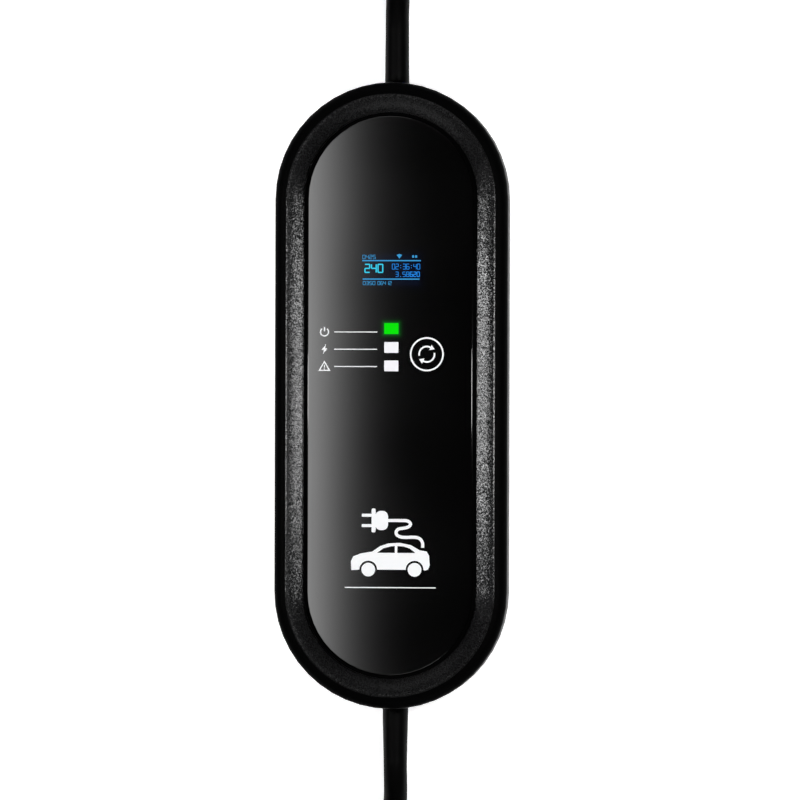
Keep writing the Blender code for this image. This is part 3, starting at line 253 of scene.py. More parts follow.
def mesh_piece(name, bm, finish):
    """Turn a bmesh into a piece."""
    mesh = bpy.data.meshes.new(name)
    bm.to_mesh(mesh)
    bm.free()
    mesh.shade_smooth()
    mesh.set_sharp_from_angle(angle=PRINT_LIMIT)
    return link(bpy.data.objects.new(name, mesh), finish)


# Flat shapes, as outlines in millimetres from the panel's middle

def arc(centre, radius, start, end, steps=24):
    """Points along part of a circle, its angles in degrees."""
    angles = [math.radians(start + (end - start) * i / steps) for i in range(steps + 1)]
    return [(centre[0] + radius * math.cos(a), centre[1] + radius * math.sin(a)) for a in angles]


def disc(centre, radius):
    """Outline of a full circle."""
    return arc(centre, radius, 0, 360)[:-1]


def rounded(centre, size, radius):
    """Rectangle with round corners."""
    outline = []
    for i, (across, up) in enumerate(((1, 1), (-1, 1), (-1, -1), (1, -1))):
        corner = (centre[0] + across * (size[0] / 2 - radius),
                  centre[1] + up * (size[1] / 2 - radius))
        outline += arc(corner, radius, 90 * i, 90 * i + 90, 4)
    return outline


def stroke(points, width, closed=False):
    """Line of even width through points, as one four-sided shape for each stretch."""
    spots = [Vector(point) for point in points]
    if closed:
        spots = [spots[-1], *spots, spots[0]]
    sides = []
    for i, spot in enumerate(spots):
        into = (spot - spots[max(i - 1, 0)]).normalized()
        away = (spots[min(i + 1, len(spots) - 1)] - spot).normalized()
        along = (into + away).normalized()
        normal = Vector((-along.y, along.x))
        ahead = away if away.length else into
        reach = width / 2 / max(0.5, normal.dot(Vector((-ahead.y, ahead.x))))
        sides.append((spot + reach * normal, spot - reach * normal))
    if closed:
        sides = sides[1:-1] + [sides[1]]
    return [(a, b, d, c) for (a, b), (c, d) in zip(sides, sides[1:])]


def figures(text, corner, height, pitch, weight):
    """Seven-part figures in a row from a lower left corner; dots and colons take a place too."""
    wide = 0.72 * pitch
    half = height / 2
    bars = {
        "a": ((0, height), (wide, height)), "b": ((wide, height), (wide, half)),
        "c": ((wide, half), (wide, 0)), "d": ((0, 0), (wide, 0)), "e": ((0, 0), (0, half)),
        "f": ((0, half), (0, height)), "g": ((0, half), (wide, half)),
    }
    lit = {"0": "abcdef", "1": "bc", "2": "abged", "3": "abgcd", "4": "fgbc", "5": "afgcd",
           "6": "afgedc", "7": "abc", "8": "abcdefg", "9": "abfgcd"}
    shapes = []
    for i, sign in enumerate(text):
        x = corner[0] + i * pitch
        for bar in lit.get(sign, ""):
            shapes += stroke([(x + across, corner[1] + up) for across, up in bars[bar]], weight)
        dots = {":": (0.28, 0.72), ".": (0,)}.get(sign, ())
        shapes += [disc((x + wide / 2, corner[1] + rise * height), weight * 0.75) for rise in dots]
    return shapes


def printed(name, shapes, finish, lift=PRINT_LIFT):
    """Flat shapes laid just over the panel as one piece."""
    bm = bmesh.new()
    for shape in shapes:
        corners = [bm.verts.new((x * MM, y * MM, PANEL_TOP + lift)) for x, y in shape]
        bm.faces.new(corners)
    for face in bm.faces:
        face.normal_update()
        if face.normal.z < 0:
            face.normal_flip()
    return mesh_piece(name, bm, finish)


# Materials

def new_material(name):
    """A node material with its tree and its shader."""
    made = bpy.data.materials.new(name)
    made.use_nodes = True
    tree = made.node_tree
    return made, tree, tree.nodes["Principled BSDF"]


def add(tree, kind, **values):
    """A new node with some of its properties set."""
    node = tree.nodes.new(kind)
    for key, value in values.items():
        setattr(node, key, value)
    return node


def math_node(tree, operation, first, second=None):
    """A Math node whose inputs are numbers or sockets."""
    node = add(tree, "ShaderNodeMath", operation=operation)
    for socket, value in zip(node.inputs, (first, second)):
        if isinstance(value, bpy.types.NodeSocket):
            tree.links.new(value, socket)
        elif value is not None:
            socket.default_value = value
    return node.outputs[0]


def vector_node(tree, operation, first, second=None):
    """A Vector Math node whose inputs are sockets, or a vector or a scale for the second."""
    node = add(tree, "ShaderNodeVectorMath", operation=operation)
    tree.links.new(first, node.inputs[0])
    if isinstance(second, bpy.types.NodeSocket):
        tree.links.new(second, node.inputs[1])
    elif operation == "SCALE":
        node.inputs["Scale"].default_value = second
    elif second is not None:
        node.inputs[1].default_value = second
    return node.outputs[0]


def noise(tree, scale, detail=2.0, roughness=0.5, stretch=None):
    """Noise in the object's own metres."""
    place = add(tree, "ShaderNodeTexCoord").outputs["Object"]
    if stretch:
        mapping = add(tree, "ShaderNodeMapping")
        mapping.inputs["Scale"].default_value = stretch
        tree.links.new(place, mapping.inputs["Vector"])
        place = mapping.outputs[0]
    made = add(tree, "ShaderNodeTexNoise")
    made.inputs["Scale"].default_value = scale
    made.inputs["Detail"].default_value = detail
    made.inputs["Roughness"].default_value = roughness
    tree.links.new(place, made.inputs["Vector"])
    return made.outputs["Fac"]


def ramp(tree, value, low, high, low_to, high_to):
    """Map a range of a socket to a range of numbers."""
    node = add(tree, "ShaderNodeMapRange")
    node.inputs["From Min"].default_value = low
    node.inputs["From Max"].default_value = high
    node.inputs["To Min"].default_value = low_to
    node.inputs["To Max"].default_value = high_to
    tree.links.new(value, node.inputs["Value"])
    return node.outputs["Result"]


def colour_mix(tree, share, first, second):
    """Blend two colours by a socket."""
    node = add(tree, "ShaderNodeMix", data_type="RGBA")
    tree.links.new(share, node.inputs["Factor"])
    for socket, colour in ((node.inputs["A"], first), (node.inputs["B"], second)):
        if isinstance(colour, bpy.types.NodeSocket):
            tree.links.new(colour, socket)
        else:
            socket.default_value = (*colour, 1)
    return node.outputs["Result"]


def bump(tree, height, distance):
    """Normal of a surface whose height varies by up to a distance."""
    node = add(tree, "ShaderNodeBump")
    node.inputs["Distance"].default_value = distance
    tree.links.new(height, node.inputs["Height"])
    return node.outputs[0]


def moulded(name, colour, roughness, grain, depth, specular=0.4, spread=0.06, stretch=None,
            metallic=0.0):
    """Moulded or sheathed surface with a fine grain and a slightly uneven colour and roughness.

    The grain's size and depth are in millimetres.
    """
    made, tree, shader = new_material(name)
    scale = 1 / (grain * MM)
    fine = noise(tree, scale, 3, 0.6, stretch)
    broad = noise(tree, scale / 40, 2)
    shade = [c * 0.82 for c in colour]
    light = [min(1, c * 1.2) for c in colour]
    tree.links.new(colour_mix(tree, broad, shade, light), shader.inputs["Base Color"])
    tree.links.new(ramp(tree, broad, 0.3, 0.7, roughness - spread, roughness + spread),
                   shader.inputs["Roughness"])
    shader.inputs["Specular IOR Level"].default_value = specular
    shader.inputs["Metallic"].default_value = metallic
    tree.links.new(bump(tree, fine, depth * MM), shader.inputs["Normal"])
    return made


def round_the_box(tree):
    """Sockets for a point's place round the box.

    They are the place, the same split in three, its distance from the box's middle line, and how far
    it lies past the line's ends.
    """
    place = add(tree, "ShaderNodeTexCoord").outputs["Object"]
    split = add(tree, "ShaderNodeSeparateXYZ")
    tree.links.new(place, split.inputs[0])
    x, y = split.outputs[:2]
    beyond = math_node(tree, "SUBTRACT", math_node(tree, "ABSOLUTE", y), END_CENTRE)
    past = math_node(tree, "MAXIMUM", beyond, 0.0)
    squares = [math_node(tree, "MULTIPLY", reach, reach) for reach in (x, past)]
    radius = math_node(tree, "SQRT", math_node(tree, "ADD", *squares))
    along = math_node(tree, "MULTIPLY", past, math_node(tree, "SIGN", y))
    return place, split, radius, along


def falling_away(tree, split, radius, along, slope, rise):
    """Vector that leans outward from the box's middle line by a slope."""
    outward = add(tree, "ShaderNodeCombineXYZ")
    share = math_node(tree, "DIVIDE", slope, radius)
    tree.links.new(math_node(tree, "MULTIPLY", split.outputs[0], share), outward.inputs["X"])
    tree.links.new(math_node(tree, "MULTIPLY", along, share), outward.inputs["Y"])
    outward.inputs["Z"].default_value = rise
    return outward.outputs[0]


def grained_ring(tree, place, split, radius, along):
    """Normal of the ring's face and a random number for each of its grains.

    The face leans outward most at its inner edge, and its outer rim leans again. Each grain tilts a
    little on its own.
    """
    slope = math_node(tree, "ADD", ramp(tree, radius, RING_INNER, RING_OUTER, RING_SLOPE, 0.0),
                      ramp(tree, radius, *RIM, 0, RIM_SLOPE))
    outward = falling_away(tree, split, radius, along, slope, 1)
    grains = add(tree, "ShaderNodeTexVoronoi")
    grains.inputs["Scale"].default_value = 1 / GRAIN
    tree.links.new(place, grains.inputs["Vector"])
    centred = vector_node(tree, "SUBTRACT", grains.outputs["Color"], (0.5, 0.5, 0.5))
    tilt = vector_node(tree, "SCALE", centred, GRAIN_TILT)
    channels = add(tree, "ShaderNodeSeparateXYZ")
    tree.links.new(grains.outputs["Color"], channels.inputs[0])
    normal = vector_node(tree, "NORMALIZE", vector_node(tree, "ADD", outward, tilt))
    return normal, channels.outputs[2]


def housing_finish():
    """Black moulding: smooth walls, a shoulder band darkened by painted shade and a sparkling
    spark-eroded ring.
    """
    made, tree, shader = new_material("housing")
    place, split, radius, along = round_the_box(tree)
    inside = ramp(tree, radius, *RING_BORDER, 1, 0)
    high = ramp(tree, split.outputs[2], *RING_FOOT, 0, 1)
    ring = math_node(tree, "MULTIPLY", inside, high)
    # Painted shade: upward-facing housing outside the ring becomes the dark band
    facing = add(tree, "ShaderNodeSeparateXYZ")
    tree.links.new(add(tree, "ShaderNodeNewGeometry").outputs["Normal"], facing.inputs[0])
    upward = ramp(tree, facing.outputs[2], *BAND_RISE, 0, 1)
    painted_dark_band = math_node(tree, "SUBTRACT", upward, ring)

    grained, speck = grained_ring(tree, place, split, radius, along)
    normal = add(tree, "ShaderNodeMix", data_type="VECTOR")
    tree.links.new(ring, normal.inputs["Factor"])
    fine = noise(tree, 1 / SHELL_GRAIN, 3, 0.6)
    tree.links.new(bump(tree, fine, SHELL_GRAIN_DEPTH), normal.inputs[4])
    tree.links.new(grained, normal.inputs[5])
    tree.links.new(normal.outputs[1], shader.inputs["Normal"])

    eroded = colour_mix(tree, speck, *GRAIN_TINTS)
    tree.links.new(colour_mix(tree, ring, SHELL_TINT, eroded), shader.inputs["Base Color"])
    broad = noise(tree, 1 / (30 * MM), 2)
    rough = math_node(tree, "ADD", ramp(tree, ring, 0, 1, SHELL_ROUGHNESS, RING_ROUGHNESS),
                      ramp(tree, broad, 0.3, 0.7, -ROUGHNESS_SPREAD, ROUGHNESS_SPREAD))
    tree.links.new(rough, shader.inputs["Roughness"])
    sparkle = math_node(tree, "MULTIPLY", ring, ramp(tree, speck, 0, 1, -SPECK_DROP, 0.0))
    # The band's lower specular level is painted shade, not a different finish
    smooth = math_node(tree, "SUBTRACT", SHELL_SPECULAR, ramp(tree, painted_dark_band, 0, 1, 0, BAND_SHADE_DROP))
    tree.links.new(math_node(tree, "ADD", sparkle, smooth), shader.inputs["Specular IOR Level"])
    return made


def panel_finish():
    """Gloss black panel with a very slight waviness and an edge that rolls off.

    A painted glow spreads a little into it from the green window and from the read-out.
    """
    made, tree, shader = new_material("gloss_panel")
    broad = noise(tree, 1 / (55 * MM), 1)
    tree.links.new(colour_mix(tree, broad, (0.0001, 0.0001, 0.00012), (0.0003, 0.0003, 0.0004)),
                   shader.inputs["Base Color"])
    tree.links.new(ramp(tree, broad, 0.3, 0.7, 0.045, 0.06), shader.inputs["Roughness"])
    shader.inputs["Specular IOR Level"].default_value = 0.5
    split, radius, along = round_the_box(tree)[1:]
    wave = bump(tree, broad, 0.012 * MM)
    slope = ramp(tree, radius, *PANEL_EDGE, 0, PANEL_EDGE_SLOPE)
    edge = falling_away(tree, split, radius, along, slope, 0)
    tree.links.new(vector_node(tree, "NORMALIZE", vector_node(tree, "ADD", wave, edge)),
                   shader.inputs["Normal"])
    # Painted glow on the panel: green round the power window, blue round the read-out
    window = (WINDOW_X, WINDOW_ROWS["power"])
    lit = painted_halo(tree, split, window, WINDOW_SIZE, 0.55 * MM, (0, 0.16, 0.01))
    painted_display_glow = painted_halo(tree, split, DISPLAY_MIDDLE, DISPLAY_GLOW_SIZE, 1.2 * MM, (0.0006, 0.0022, 0.010))
    tree.links.new(vector_node(tree, "ADD", lit, painted_display_glow), shader.inputs["Emission Color"])
    shader.inputs["Emission Strength"].default_value = 1
    return made


def painted_halo(tree, split, middle, size, reach, colour):
    """Painted glow that dies away outside a rectangle."""
    away = []
    for axis in (0, 1):
        shifted = math_node(tree, "SUBTRACT", split.outputs[axis], middle[axis] * MM)
        off = math_node(tree, "ABSOLUTE", shifted)
        beyond = math_node(tree, "SUBTRACT", off, size[axis] / 2 * MM)
        past = math_node(tree, "MAXIMUM", beyond, 0.0)
        away.append(math_node(tree, "MULTIPLY", past, past))
    distance = math_node(tree, "SQRT", math_node(tree, "ADD", *away))
    fade = math_node(tree, "EXPONENT", math_node(tree, "DIVIDE", distance, -reach))
    return colour_mix(tree, fade, (0, 0, 0), colour)


def glow(name, colour, strength, body):
    """A window or figure with light of its own over a pale diffuser; on the white windows this light
    is a painted glow.
    """
    made, tree, shader = new_material(name)
    grain = noise(tree, 1 / (0.5 * MM), 2)
    shader.inputs["Base Color"].default_value = (*[c * body for c in colour], 1)
    shader.inputs["Roughness"].default_value = 0.35
    shader.inputs["Specular IOR Level"].default_value = 0.05
    tree.links.new(colour_mix(tree, grain, [c * 0.9 for c in colour], colour),
                   shader.inputs["Emission Color"])
    shader.inputs["Emission Strength"].default_value = strength
    return made


def ink(name, colour, lift):
    """Printed mark, a little uneven, with a painted glow of its own so that it looks bright."""
    made, tree, shader = new_material(name)
    grain = noise(tree, 1 / (0.35 * MM), 3)
    shade = colour_mix(tree, grain, [c * 0.92 for c in colour], colour)
    tree.links.new(shade, shader.inputs["Base Color"])
    tree.links.new(shade, shader.inputs["Emission Color"])
    # The lift is a painted glow that brightens the print
    shader.inputs["Emission Strength"].default_value = lift
    shader.inputs["Roughness"].default_value = 0.5
    shader.inputs["Specular IOR Level"].default_value = 0.3
    return made


def woven(name, colour):
    """Webbing: crossing threads in its bump and colour."""
    made, tree, shader = new_material(name)
    place = add(tree, "ShaderNodeTexCoord").outputs["Object"]
    waves = []
    for axis in ("X", "Y"):
        wave = add(tree, "ShaderNodeTexWave", bands_direction=axis)
        wave.inputs["Scale"].default_value = 1 / (5.5 * MM)
        wave.inputs["Distortion"].default_value = 0.6
        tree.links.new(place, wave.inputs["Vector"])
        waves.append(wave.outputs["Fac"])
    weave = math_node(tree, "MULTIPLY", *waves)
    tree.links.new(colour_mix(tree, weave, [c * 0.6 for c in colour], [c * 1.6 for c in colour]),
                   shader.inputs["Base Color"])
    shader.inputs["Roughness"].default_value = 0.85
    shader.inputs["Sheen Weight"].default_value = 0.3
    tree.links.new(bump(tree, weave, 0.25 * MM), shader.inputs["Normal"])
    return made


def dress(names, finish):
    """Give model nodes a finished material."""
    for name in names:
        slots = NODES[name].data.materials
        slots.clear()
        slots.append(finish)


def smoothing():
    """Modifier group that shades faces smooth but keeps edges over a limit angle crisp."""
    group = bpy.data.node_groups.new("smooth_by_angle", "GeometryNodeTree")
    group.interface.new_socket("Geometry", in_out="INPUT", socket_type="NodeSocketGeometry")
    group.interface.new_socket("Geometry", in_out="OUTPUT", socket_type="NodeSocketGeometry")
    merged = add(group, "GeometryNodeMergeByDistance")
    merged.inputs["Distance"].default_value = MERGE_DISTANCE
    faces = add(group, "GeometryNodeSetShadeSmooth", domain="FACE")
    edges = add(group, "GeometryNodeSetShadeSmooth", domain="EDGE")
    edges.inputs["Shade Smooth"].default_value = False
    crisp = add(group, "FunctionNodeCompare", operation="GREATER_THAN")
    crisp.inputs[1].default_value = SMOOTH_LIMIT
    angle = add(group, "GeometryNodeInputMeshEdgeAngle").outputs["Unsigned Angle"]
    group.links.new(angle, crisp.inputs[0])
    group.links.new(crisp.outputs[0], edges.inputs["Selection"])
    chain = (add(group, "NodeGroupInput").outputs[0], merged, faces, edges)
    for before, after in zip(chain, chain[1:]):
        group.links.new(getattr(before, "outputs", [before])[0], after.inputs["Geometry"])
    group.links.new(edges.outputs[0], add(group, "NodeGroupOutput").inputs[0])
    return group


def round_off(names):
    """Shade the facets of round model nodes smooth."""
    group = smoothing()
    for name in names:
        NODES[name].modifiers.new("smooth_by_angle", "NODES").node_group = group


def soften(name, width):
    """Round the edges of a model node by a small bevel."""
    piece = NODES[name]
    weld = piece.modifiers.new("weld", "WELD")
    weld.merge_threshold = MERGE_DISTANCE
    edges = piece.modifiers.new("edges", "BEVEL")
    edges.width = width
    edges.segments = 3
    edges.limit_method = "ANGLE"
    edges.angle_limit = BEVEL_LIMIT
    edges.harden_normals = True


# Finishes. A moulded one has a name, colour, roughness, size and depth of its grain, specular level,
# spread of roughness, stretch of the grain and metallic level.
HOUSING = housing_finish()
PANEL = panel_finish()
SHEATH = moulded("sheath", (0.001, 0.001, 0.0011), 0.42, 1.6, 0.03, 0.05)
BOOT = moulded("boot_rubber", (0.001, 0.001, 0.0011), 0.42, 0.9, 0.03, 0.05)
MOULDING = moulded("black_moulding", (0.011, 0.011, 0.0115), 0.5, 1.1, 0.09, 0.45)
GREY = moulded("plug_grey", (0.05, 0.052, 0.056), 0.52, 1.1, 0.07, 0.45)
BLUE = moulded("plug_blue", (0.015, 0.10, 0.42), 0.4, 1.3, 0.04, 0.5)
NICKEL = moulded("nickel", (0.62, 0.58, 0.5), 0.24, 0.9, 0.008, 0.5, 0.05, (1, 0.05, 1), 1.0)
STEEL = moulded("plated_steel", (0.5, 0.5, 0.51), 0.3, 0.7, 0.01, 0.5, 0.06, None, 1.0)
WEBBING = woven("webbing", (0.02, 0.02, 0.021))
FOAM = moulded("foam", (0.05, 0.05, 0.05), 0.85, 0.9, 0.15, 0.2)
BOARD = moulded("circuit_board", (0.01, 0.12, 0.05), 0.38, 1.5, 0.02)
GLASS = moulded("display_glass", (0.008, 0.01, 0.016), 0.1, 4, 0.002, 0.5, 0.02)
DIFFUSER = moulded("diffuser", (0.82, 0.83, 0.85), 0.4, 0.8, 0.01)
YELLOW = moulded("component_yellow", (0.7, 0.5, 0.05), 0.5, 1.2, 0.03)
GREEN = moulded("terminal_green", (0.03, 0.3, 0.1), 0.45, 1.2, 0.03)
CAN = moulded("capacitor_can", (0.6, 0.6, 0.62), 0.35, 1.2, 0.01, 0.5, 0.05, None, 1.0)
RIBBON = moulded("ribbon", (0.35, 0.35, 0.36), 0.5, 1.2, 0.05, 0.4, 0.05, (1, 1, 0.05))
WIRES = {way: moulded(f"wire_{tint}", colour, 0.45, 1.2, 0.02) for way, tint, colour in (
    ("line", "brown", (0.16, 0.06, 0.025)),
    ("neutral", "blue", (0.03, 0.13, 0.5)),
    ("earth", "earth", (0.35, 0.5, 0.04)),
    ("pilot", "black", (0.02, 0.02, 0.02)),
)}
# The white ink's last number is the strength of its painted glow
WHITE_INK_WITH_GLOW = ink("white_ink", (0.82, 0.83, 0.84), 0.32)
CYAN_LIGHT = glow("display_cyan", (0.04, 0.58, 0.8), 1.1, 0.1)
LINE_LIGHT = glow("display_line", (0.04, 0.31, 0.64), 1.0, 0.1)
BLUE_LIGHT = glow("display_blue", (0.012, 0.2, 0.66), 1.2, 0.1)
GREEN_LIGHT = glow("green_window", (0.0, 0.78, 0.0), 1.0, 0.05)
# The white windows' light is a painted glow over a pale diffuser
PAINTED_WHITE_GLOW = glow("white_window", (0.91, 0.91, 0.94), 0.32, 0.82)

dress(["rear_housing", "front_housing"], HOUSING)
dress(["front_panel"], PANEL)
soften("front_panel", 0.22 * MM)
dress(["housing_gasket", "supply_strain_relief", "vehicle_strain_relief", "connector_boot"], BOOT)
dress(["panel_adhesive"], FOAM)
dress(["display_board", "main_board"], BOARD)
dress(["display_module"], GLASS)
dress(["light_guide_power", "light_guide_charging", "light_guide_fault"], DIFFUSER)
dress(["touch_spring"], STEEL)
dress(["display_cable"], RIBBON)
dress(["relay_line", "relay_neutral", "power_module", "connector_body", "connector_nose"], MOULDING)
dress(["residual_current_coil", "filter_capacitor"], YELLOW)
dress(["bulk_capacitor"], CAN)
dress(["terminal_block_supply", "terminal_block_vehicle"], GREEN)
dress(["plug_shroud"], BLUE)
dress(["plug_housing", "plug_gland_nut"], GREY)
dress([n for n in NODES if n.startswith(("plug_pin", "connector_contact"))], NICKEL)
dress([n for n in NODES if "_screw_" in n], STEEL)
dress(["hank_strap"], WEBBING)
for name in NODES:
    if "_wire_" in name:
        dress([name], WIRES[name.split("_")[-1]])
round_off([n for n in NODES
           if n.startswith(("plug_", "connector_")) or n.endswith(("_housing", "_relief"))])


# Read-out, windows and marks on the front. None of the real front's words or figures is copied.

def display_marks():
    """Two rules, two plain icons and rows of figures on the read-out."""
    fan = [(2.8, 61.1), (4, 59.5), (5.2, 61.1), (4, 61.5)]
    dots = [rounded((x, 60.4), (0.9, 1.1), 0.3) for x in (10.0, 11.3)]
    rules = stroke([(-12.2, 58.6), (13.4, 58.6)], 0.5) + stroke([(-12, 50.6), (12.8, 50.6)], 0.5)
    printed("display_lines", [*rules, fan, *dots], LINE_LIGHT)
    # Each row of figures: text, lower left corner, height, pitch and weight
    printed("display_reading", figures("240", (-11, 53.5), 3.5, 2.85, 0.52), CYAN_LIGHT)
    rows = (("02:36:40", (0.9, 54.9), 2.25, 1.56, 0.25), ("3.58", (2.4, 51.7), 2.0, 1.56, 0.25),
            ("620", (8.7, 51.7), 2.0, 1.5, 0.36))
    printed("display_figures", [shape for row in rows for shape in figures(*row)], BLUE_LIGHT)
    rows = (("0425", (-12, 59.4), 1.6, 1.5, 0.2), ("0350", (-11.8, 48.1), 1.5, 1.4, 0.2),
            ("06412", (-5.4, 48.1), 1.5, 1.25, 0.2))
    printed("display_small_figures", [shape for row in rows for shape in figures(*row)], LINE_LIGHT)


def windows():
    """Three windows: the power window is lit green, and the other two are pale with a painted glow.
    """
    for name, row in WINDOW_ROWS.items():
        printed(f"window_{name}", [rounded((WINDOW_X, row), WINDOW_SIZE, 0.3)],
                GREEN_LIGHT if name == "power" else PAINTED_WHITE_GLOW)


def symbols():
    """Power, charging and fault symbols with a thin rule that leads to each window."""
    x = SYMBOL_X
    power, charging, fault = SYMBOL_ROWS
    shapes = stroke(arc((x, power), 1.75, 128, 412), 0.55)
    shapes += stroke([(x, power + 0.3), (x, power + 2.2)], 0.55)
    bolt = ((0.7, 2.2), (-1.3, -0.35), (-0.2, -0.35), (-0.7, -2.2), (1.3, 0.4), (0.2, 0.4))
    shapes.append([(x + across, charging + up) for across, up in bolt])
    corners = ((-2.2, -1.7), (2.2, -1.7), (0, 2.1))
    shapes += stroke([(x + across, fault + up) for across, up in corners], 0.5, closed=True)
    shapes += stroke([(x, fault + 0.75), (x, fault - 0.55)], 0.45)
    shapes.append(disc((x, fault - 1.1), 0.27))
    for row in SYMBOL_ROWS:
        shapes += stroke([(x + 4.2, row), (WINDOW_X - 6.2, row)], 0.4)
    printed("symbols", shapes, WHITE_INK_WITH_GLOW)


def touch_key():
    """Ring with two round arrows."""
    shapes = stroke(arc(KEY_CENTRE, 7.05, 0, 360, 72)[:-1], 0.72, closed=True)
    for turn in (0, 180):
        bend = arc(KEY_CENTRE, 3.35, 190 + turn, 62 + turn, 16)
        shapes += stroke(bend, 0.72)
        tip = Vector(bend[-1])
        onward = (tip - Vector(bend[-2])).normalized()
        side = Vector((-onward.y, onward.x))
        shapes.append([tuple(tip + 1.25 * side), tuple(tip - 1.25 * side), tuple(tip + 2 * onward)])
    printed("touch_key", shapes, WHITE_INK_WITH_GLOW)


def pictogram():
    """Car seen from its side with a plug on its lead, and a rule under it."""
    wheels = ((11, -75.6), (-9.2, -75.6))
    arches = [spot for wheel in wheels for spot in arc(wheel, 3.9, 0, 180, 12)]
    body = [(-16.6, -75.9), (-16.8, -72), (-15.8, -69.9), (-12.4, -68.6), (-7.6, -67.8), (-4, -65.4),
            (-0.4, -64.2), (4.6, -63.9), (9.4, -64.9), (13.2, -67.1), (16.2, -67.6), (17.3, -69.4),
            (17.6, -73.6), (16.9, -75.4), (15.6, -75.9), *arches]
    shapes = [body, *(disc(wheel, 3) for wheel in wheels)]
    shapes += [rounded((-3.4, -54.25), (5.6, 8.4), 2.4), rounded((-6.9, -54.25), (1.8, 10.4), 0.6),
               rounded((-9.9, -52), (4.4, 1.3), 0.4), rounded((-9.9, -56.5), (4.4, 1.3), 0.4)]
    lead = [(14.5, -66), (14.5, -64.1), (13.4, -62.2), (11.2, -61.5), (5.8, -61.5), (3.5, -60.7),
            (2.9, -59.4), (3.8, -58), (5.8, -57.6), (8, -57.1), (9.2, -55.8), (8.1, -54.5),
            (5.6, -54.25), (-0.8, -54.25)]
    shapes += stroke(smooth_route(lead, 4), 1.35) + stroke([(-19.4, -83.4), (20.2, -83.4)], 0.45)
    printed("pictogram", shapes, WHITE_INK_WITH_GLOW)
    panes = [[(-5.4, -68.3), (-2.6, -66.3), (0.8, -65.4), (2.4, -65.3), (2.4, -68.3)],
             [(3.5, -68.3), (3.5, -65.3), (6.2, -65.5), (9, -66.4), (11.4, -68.3)]]
    printed("pictogram_panes", panes, PANEL, 2 * PRINT_LIFT)


display_marks()
windows()
symbols()
touch_key()
pictogram()


# Cords

supply_points = smooth_route(SUPPLY_ROUTE)
supply = tube("supply_lead", supply_points, CORD_DIAMETER, SHEATH)
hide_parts("supply_cord")

hank_points = winding()
vehicle_points = [*smooth_route([*VEHICLE_ROUTE, hank_points[0]])[:-1], *hank_points,
                  *smooth_route(TAIL_ROUTE)]
vehicle = tube("vehicle_lead", vehicle_points, CORD_DIAMETER, SHEATH)
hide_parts("vehicle_cable", "vehicle_cable_hank", "vehicle_cable_tail")


# Floor, lamps and camera

def floor():
    """Plain pale floor, near white to the camera and to reflections, with the object's shadow."""
    made, tree, shader = new_material("floor")
    shader.inputs["Base Color"].default_value = (0.86, 0.86, 0.86, 1)
    shader.inputs["Roughness"].default_value = 0.9
    shader.inputs["Specular IOR Level"].default_value = 0
    rays = add(tree, "ShaderNodeLightPath").outputs
    seen = math_node(tree, "MAXIMUM", rays["Is Camera Ray"],
                     math_node(tree, "MAXIMUM", rays["Is Glossy Ray"], rays["Is Transmission Ray"]))
    shader.inputs["Emission Color"].default_value = (1, 1, 1, 1)
    tree.links.new(math_node(tree, "MULTIPLY", seen, FLOOR_LIGHT), shader.inputs["Emission Strength"])
    mesh = bpy.data.meshes.new("floor")
    corners = [(across * FLOOR_HALF, along * FLOOR_HALF, FLOOR_HEIGHT)
               for across, along in ((-1, -1), (1, -1), (1, 1), (-1, 1))]
    mesh.from_pydata(corners, [], [(0, 1, 2, 3)])
    mesh.materials.append(made)
    thing = bpy.data.objects.new("floor", mesh)
    bpy.context.scene.collection.objects.link(thing)


def area_light(name, place, target, size, power):
    """White rectangular lamp that faces a target, its first side level."""
    data = bpy.data.lights.new(name, "AREA")
    data.shape = "RECTANGLE"
    data.size, data.size_y = size
    data.energy = power
    thing = bpy.data.objects.new(name, data)
    back = (Vector(place) - Vector(target)).normalized()
    across = Vector((0, 1, 0)).cross(back).normalized()
    up = back.cross(across)
    turn = Matrix((across, up, back)).transposed().to_4x4()
    thing.matrix_world = Matrix.Translation(place) @ turn
    thing.visible_camera = False
    bpy.context.scene.collection.objects.link(thing)
    return thing


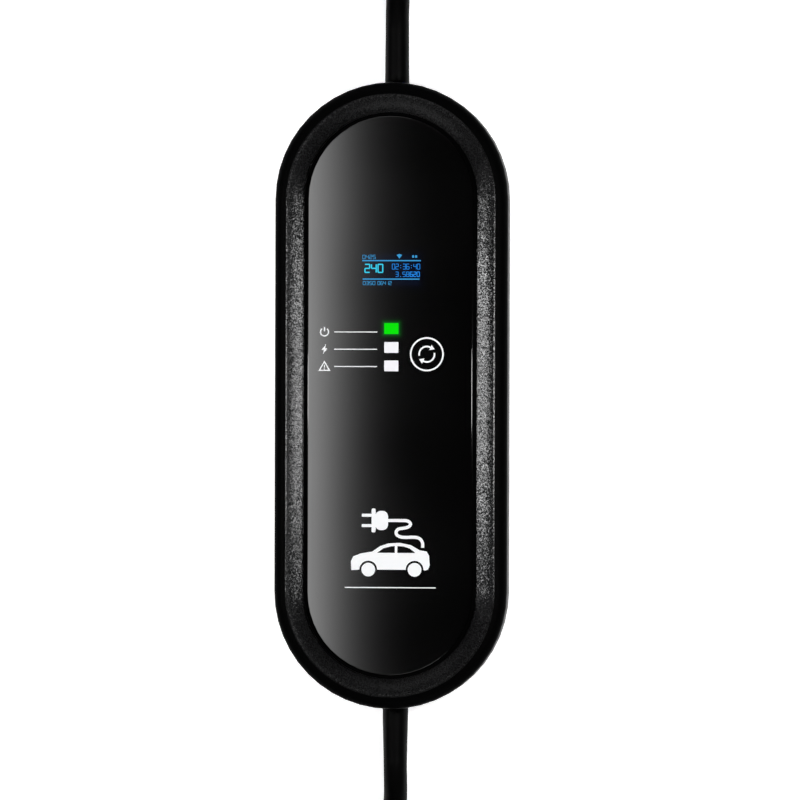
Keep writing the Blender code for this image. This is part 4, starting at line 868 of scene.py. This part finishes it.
def reflected_card():
    """Lamp whose reflection is the bright left side of the gloss panel, fading to its middle."""
    lamp = area_light("panel_lamp", (CARD_X, 0, CARD_HEIGHT), (CARD_X, 0, 0), CARD_SIZE, 1.0)
    lamp.data.use_nodes = True
    tree = lamp.data.node_tree
    emission = tree.nodes["Emission"]
    split = add(tree, "ShaderNodeSeparateXYZ")
    tree.links.new(add(tree, "ShaderNodeNewGeometry").outputs["Parametric"], split.inputs[0])
    share = ramp(tree, split.outputs[0], *CARD_FADE, 0, CARD_FADE_END)
    square = math_node(tree, "MULTIPLY", share, share)
    fall = math_node(tree, "ADD", math_node(tree, "MULTIPLY", share, CARD_FALL[0]),
                     math_node(tree, "MULTIPLY", square, CARD_FALL[1]))
    strength = math_node(tree, "MULTIPLY", math_node(tree, "EXPONENT", fall),
                         CARD_RADIANCE * CARD_SIZE[0] * CARD_SIZE[1])
    tree.links.new(strength, emission.inputs["Strength"])


def world():
    """Faint even light from all round."""
    made = bpy.data.worlds.new("world")
    made.use_nodes = True
    background = made.node_tree.nodes["Background"]
    background.inputs["Color"].default_value = (1, 1, 1, 1)
    background.inputs["Strength"].default_value = WORLD_STRENGTH
    bpy.context.scene.world = made


def camera():
    """Camera far over the box, leaning a little to its right."""
    data = bpy.data.cameras.new("camera")
    data.sensor_width = SENSOR_WIDTH
    data.lens = SENSOR_WIDTH * CAMERA_DISTANCE / FRAME_WIDTH
    data.clip_start = 0.05
    data.clip_end = 50
    thing = bpy.data.objects.new("camera", data)
    bpy.context.scene.collection.objects.link(thing)
    back = Vector((math.sin(CAMERA_TURN), 0, math.cos(CAMERA_TURN)))
    up = Vector((-math.sin(CAMERA_ROLL), math.cos(CAMERA_ROLL), 0))
    across = up.cross(back).normalized()
    turn = Matrix((across, back.cross(across), back)).transposed().to_4x4()
    thing.matrix_world = Matrix.Translation(Vector(CAMERA_TARGET) + CAMERA_DISTANCE * back) @ turn
    bpy.context.scene.camera = thing


floor()
for lamp in LAMPS:
    area_light(*lamp)
reflected_card()
world()
camera()
bpy.context.scene.view_settings.view_transform = "Standard"
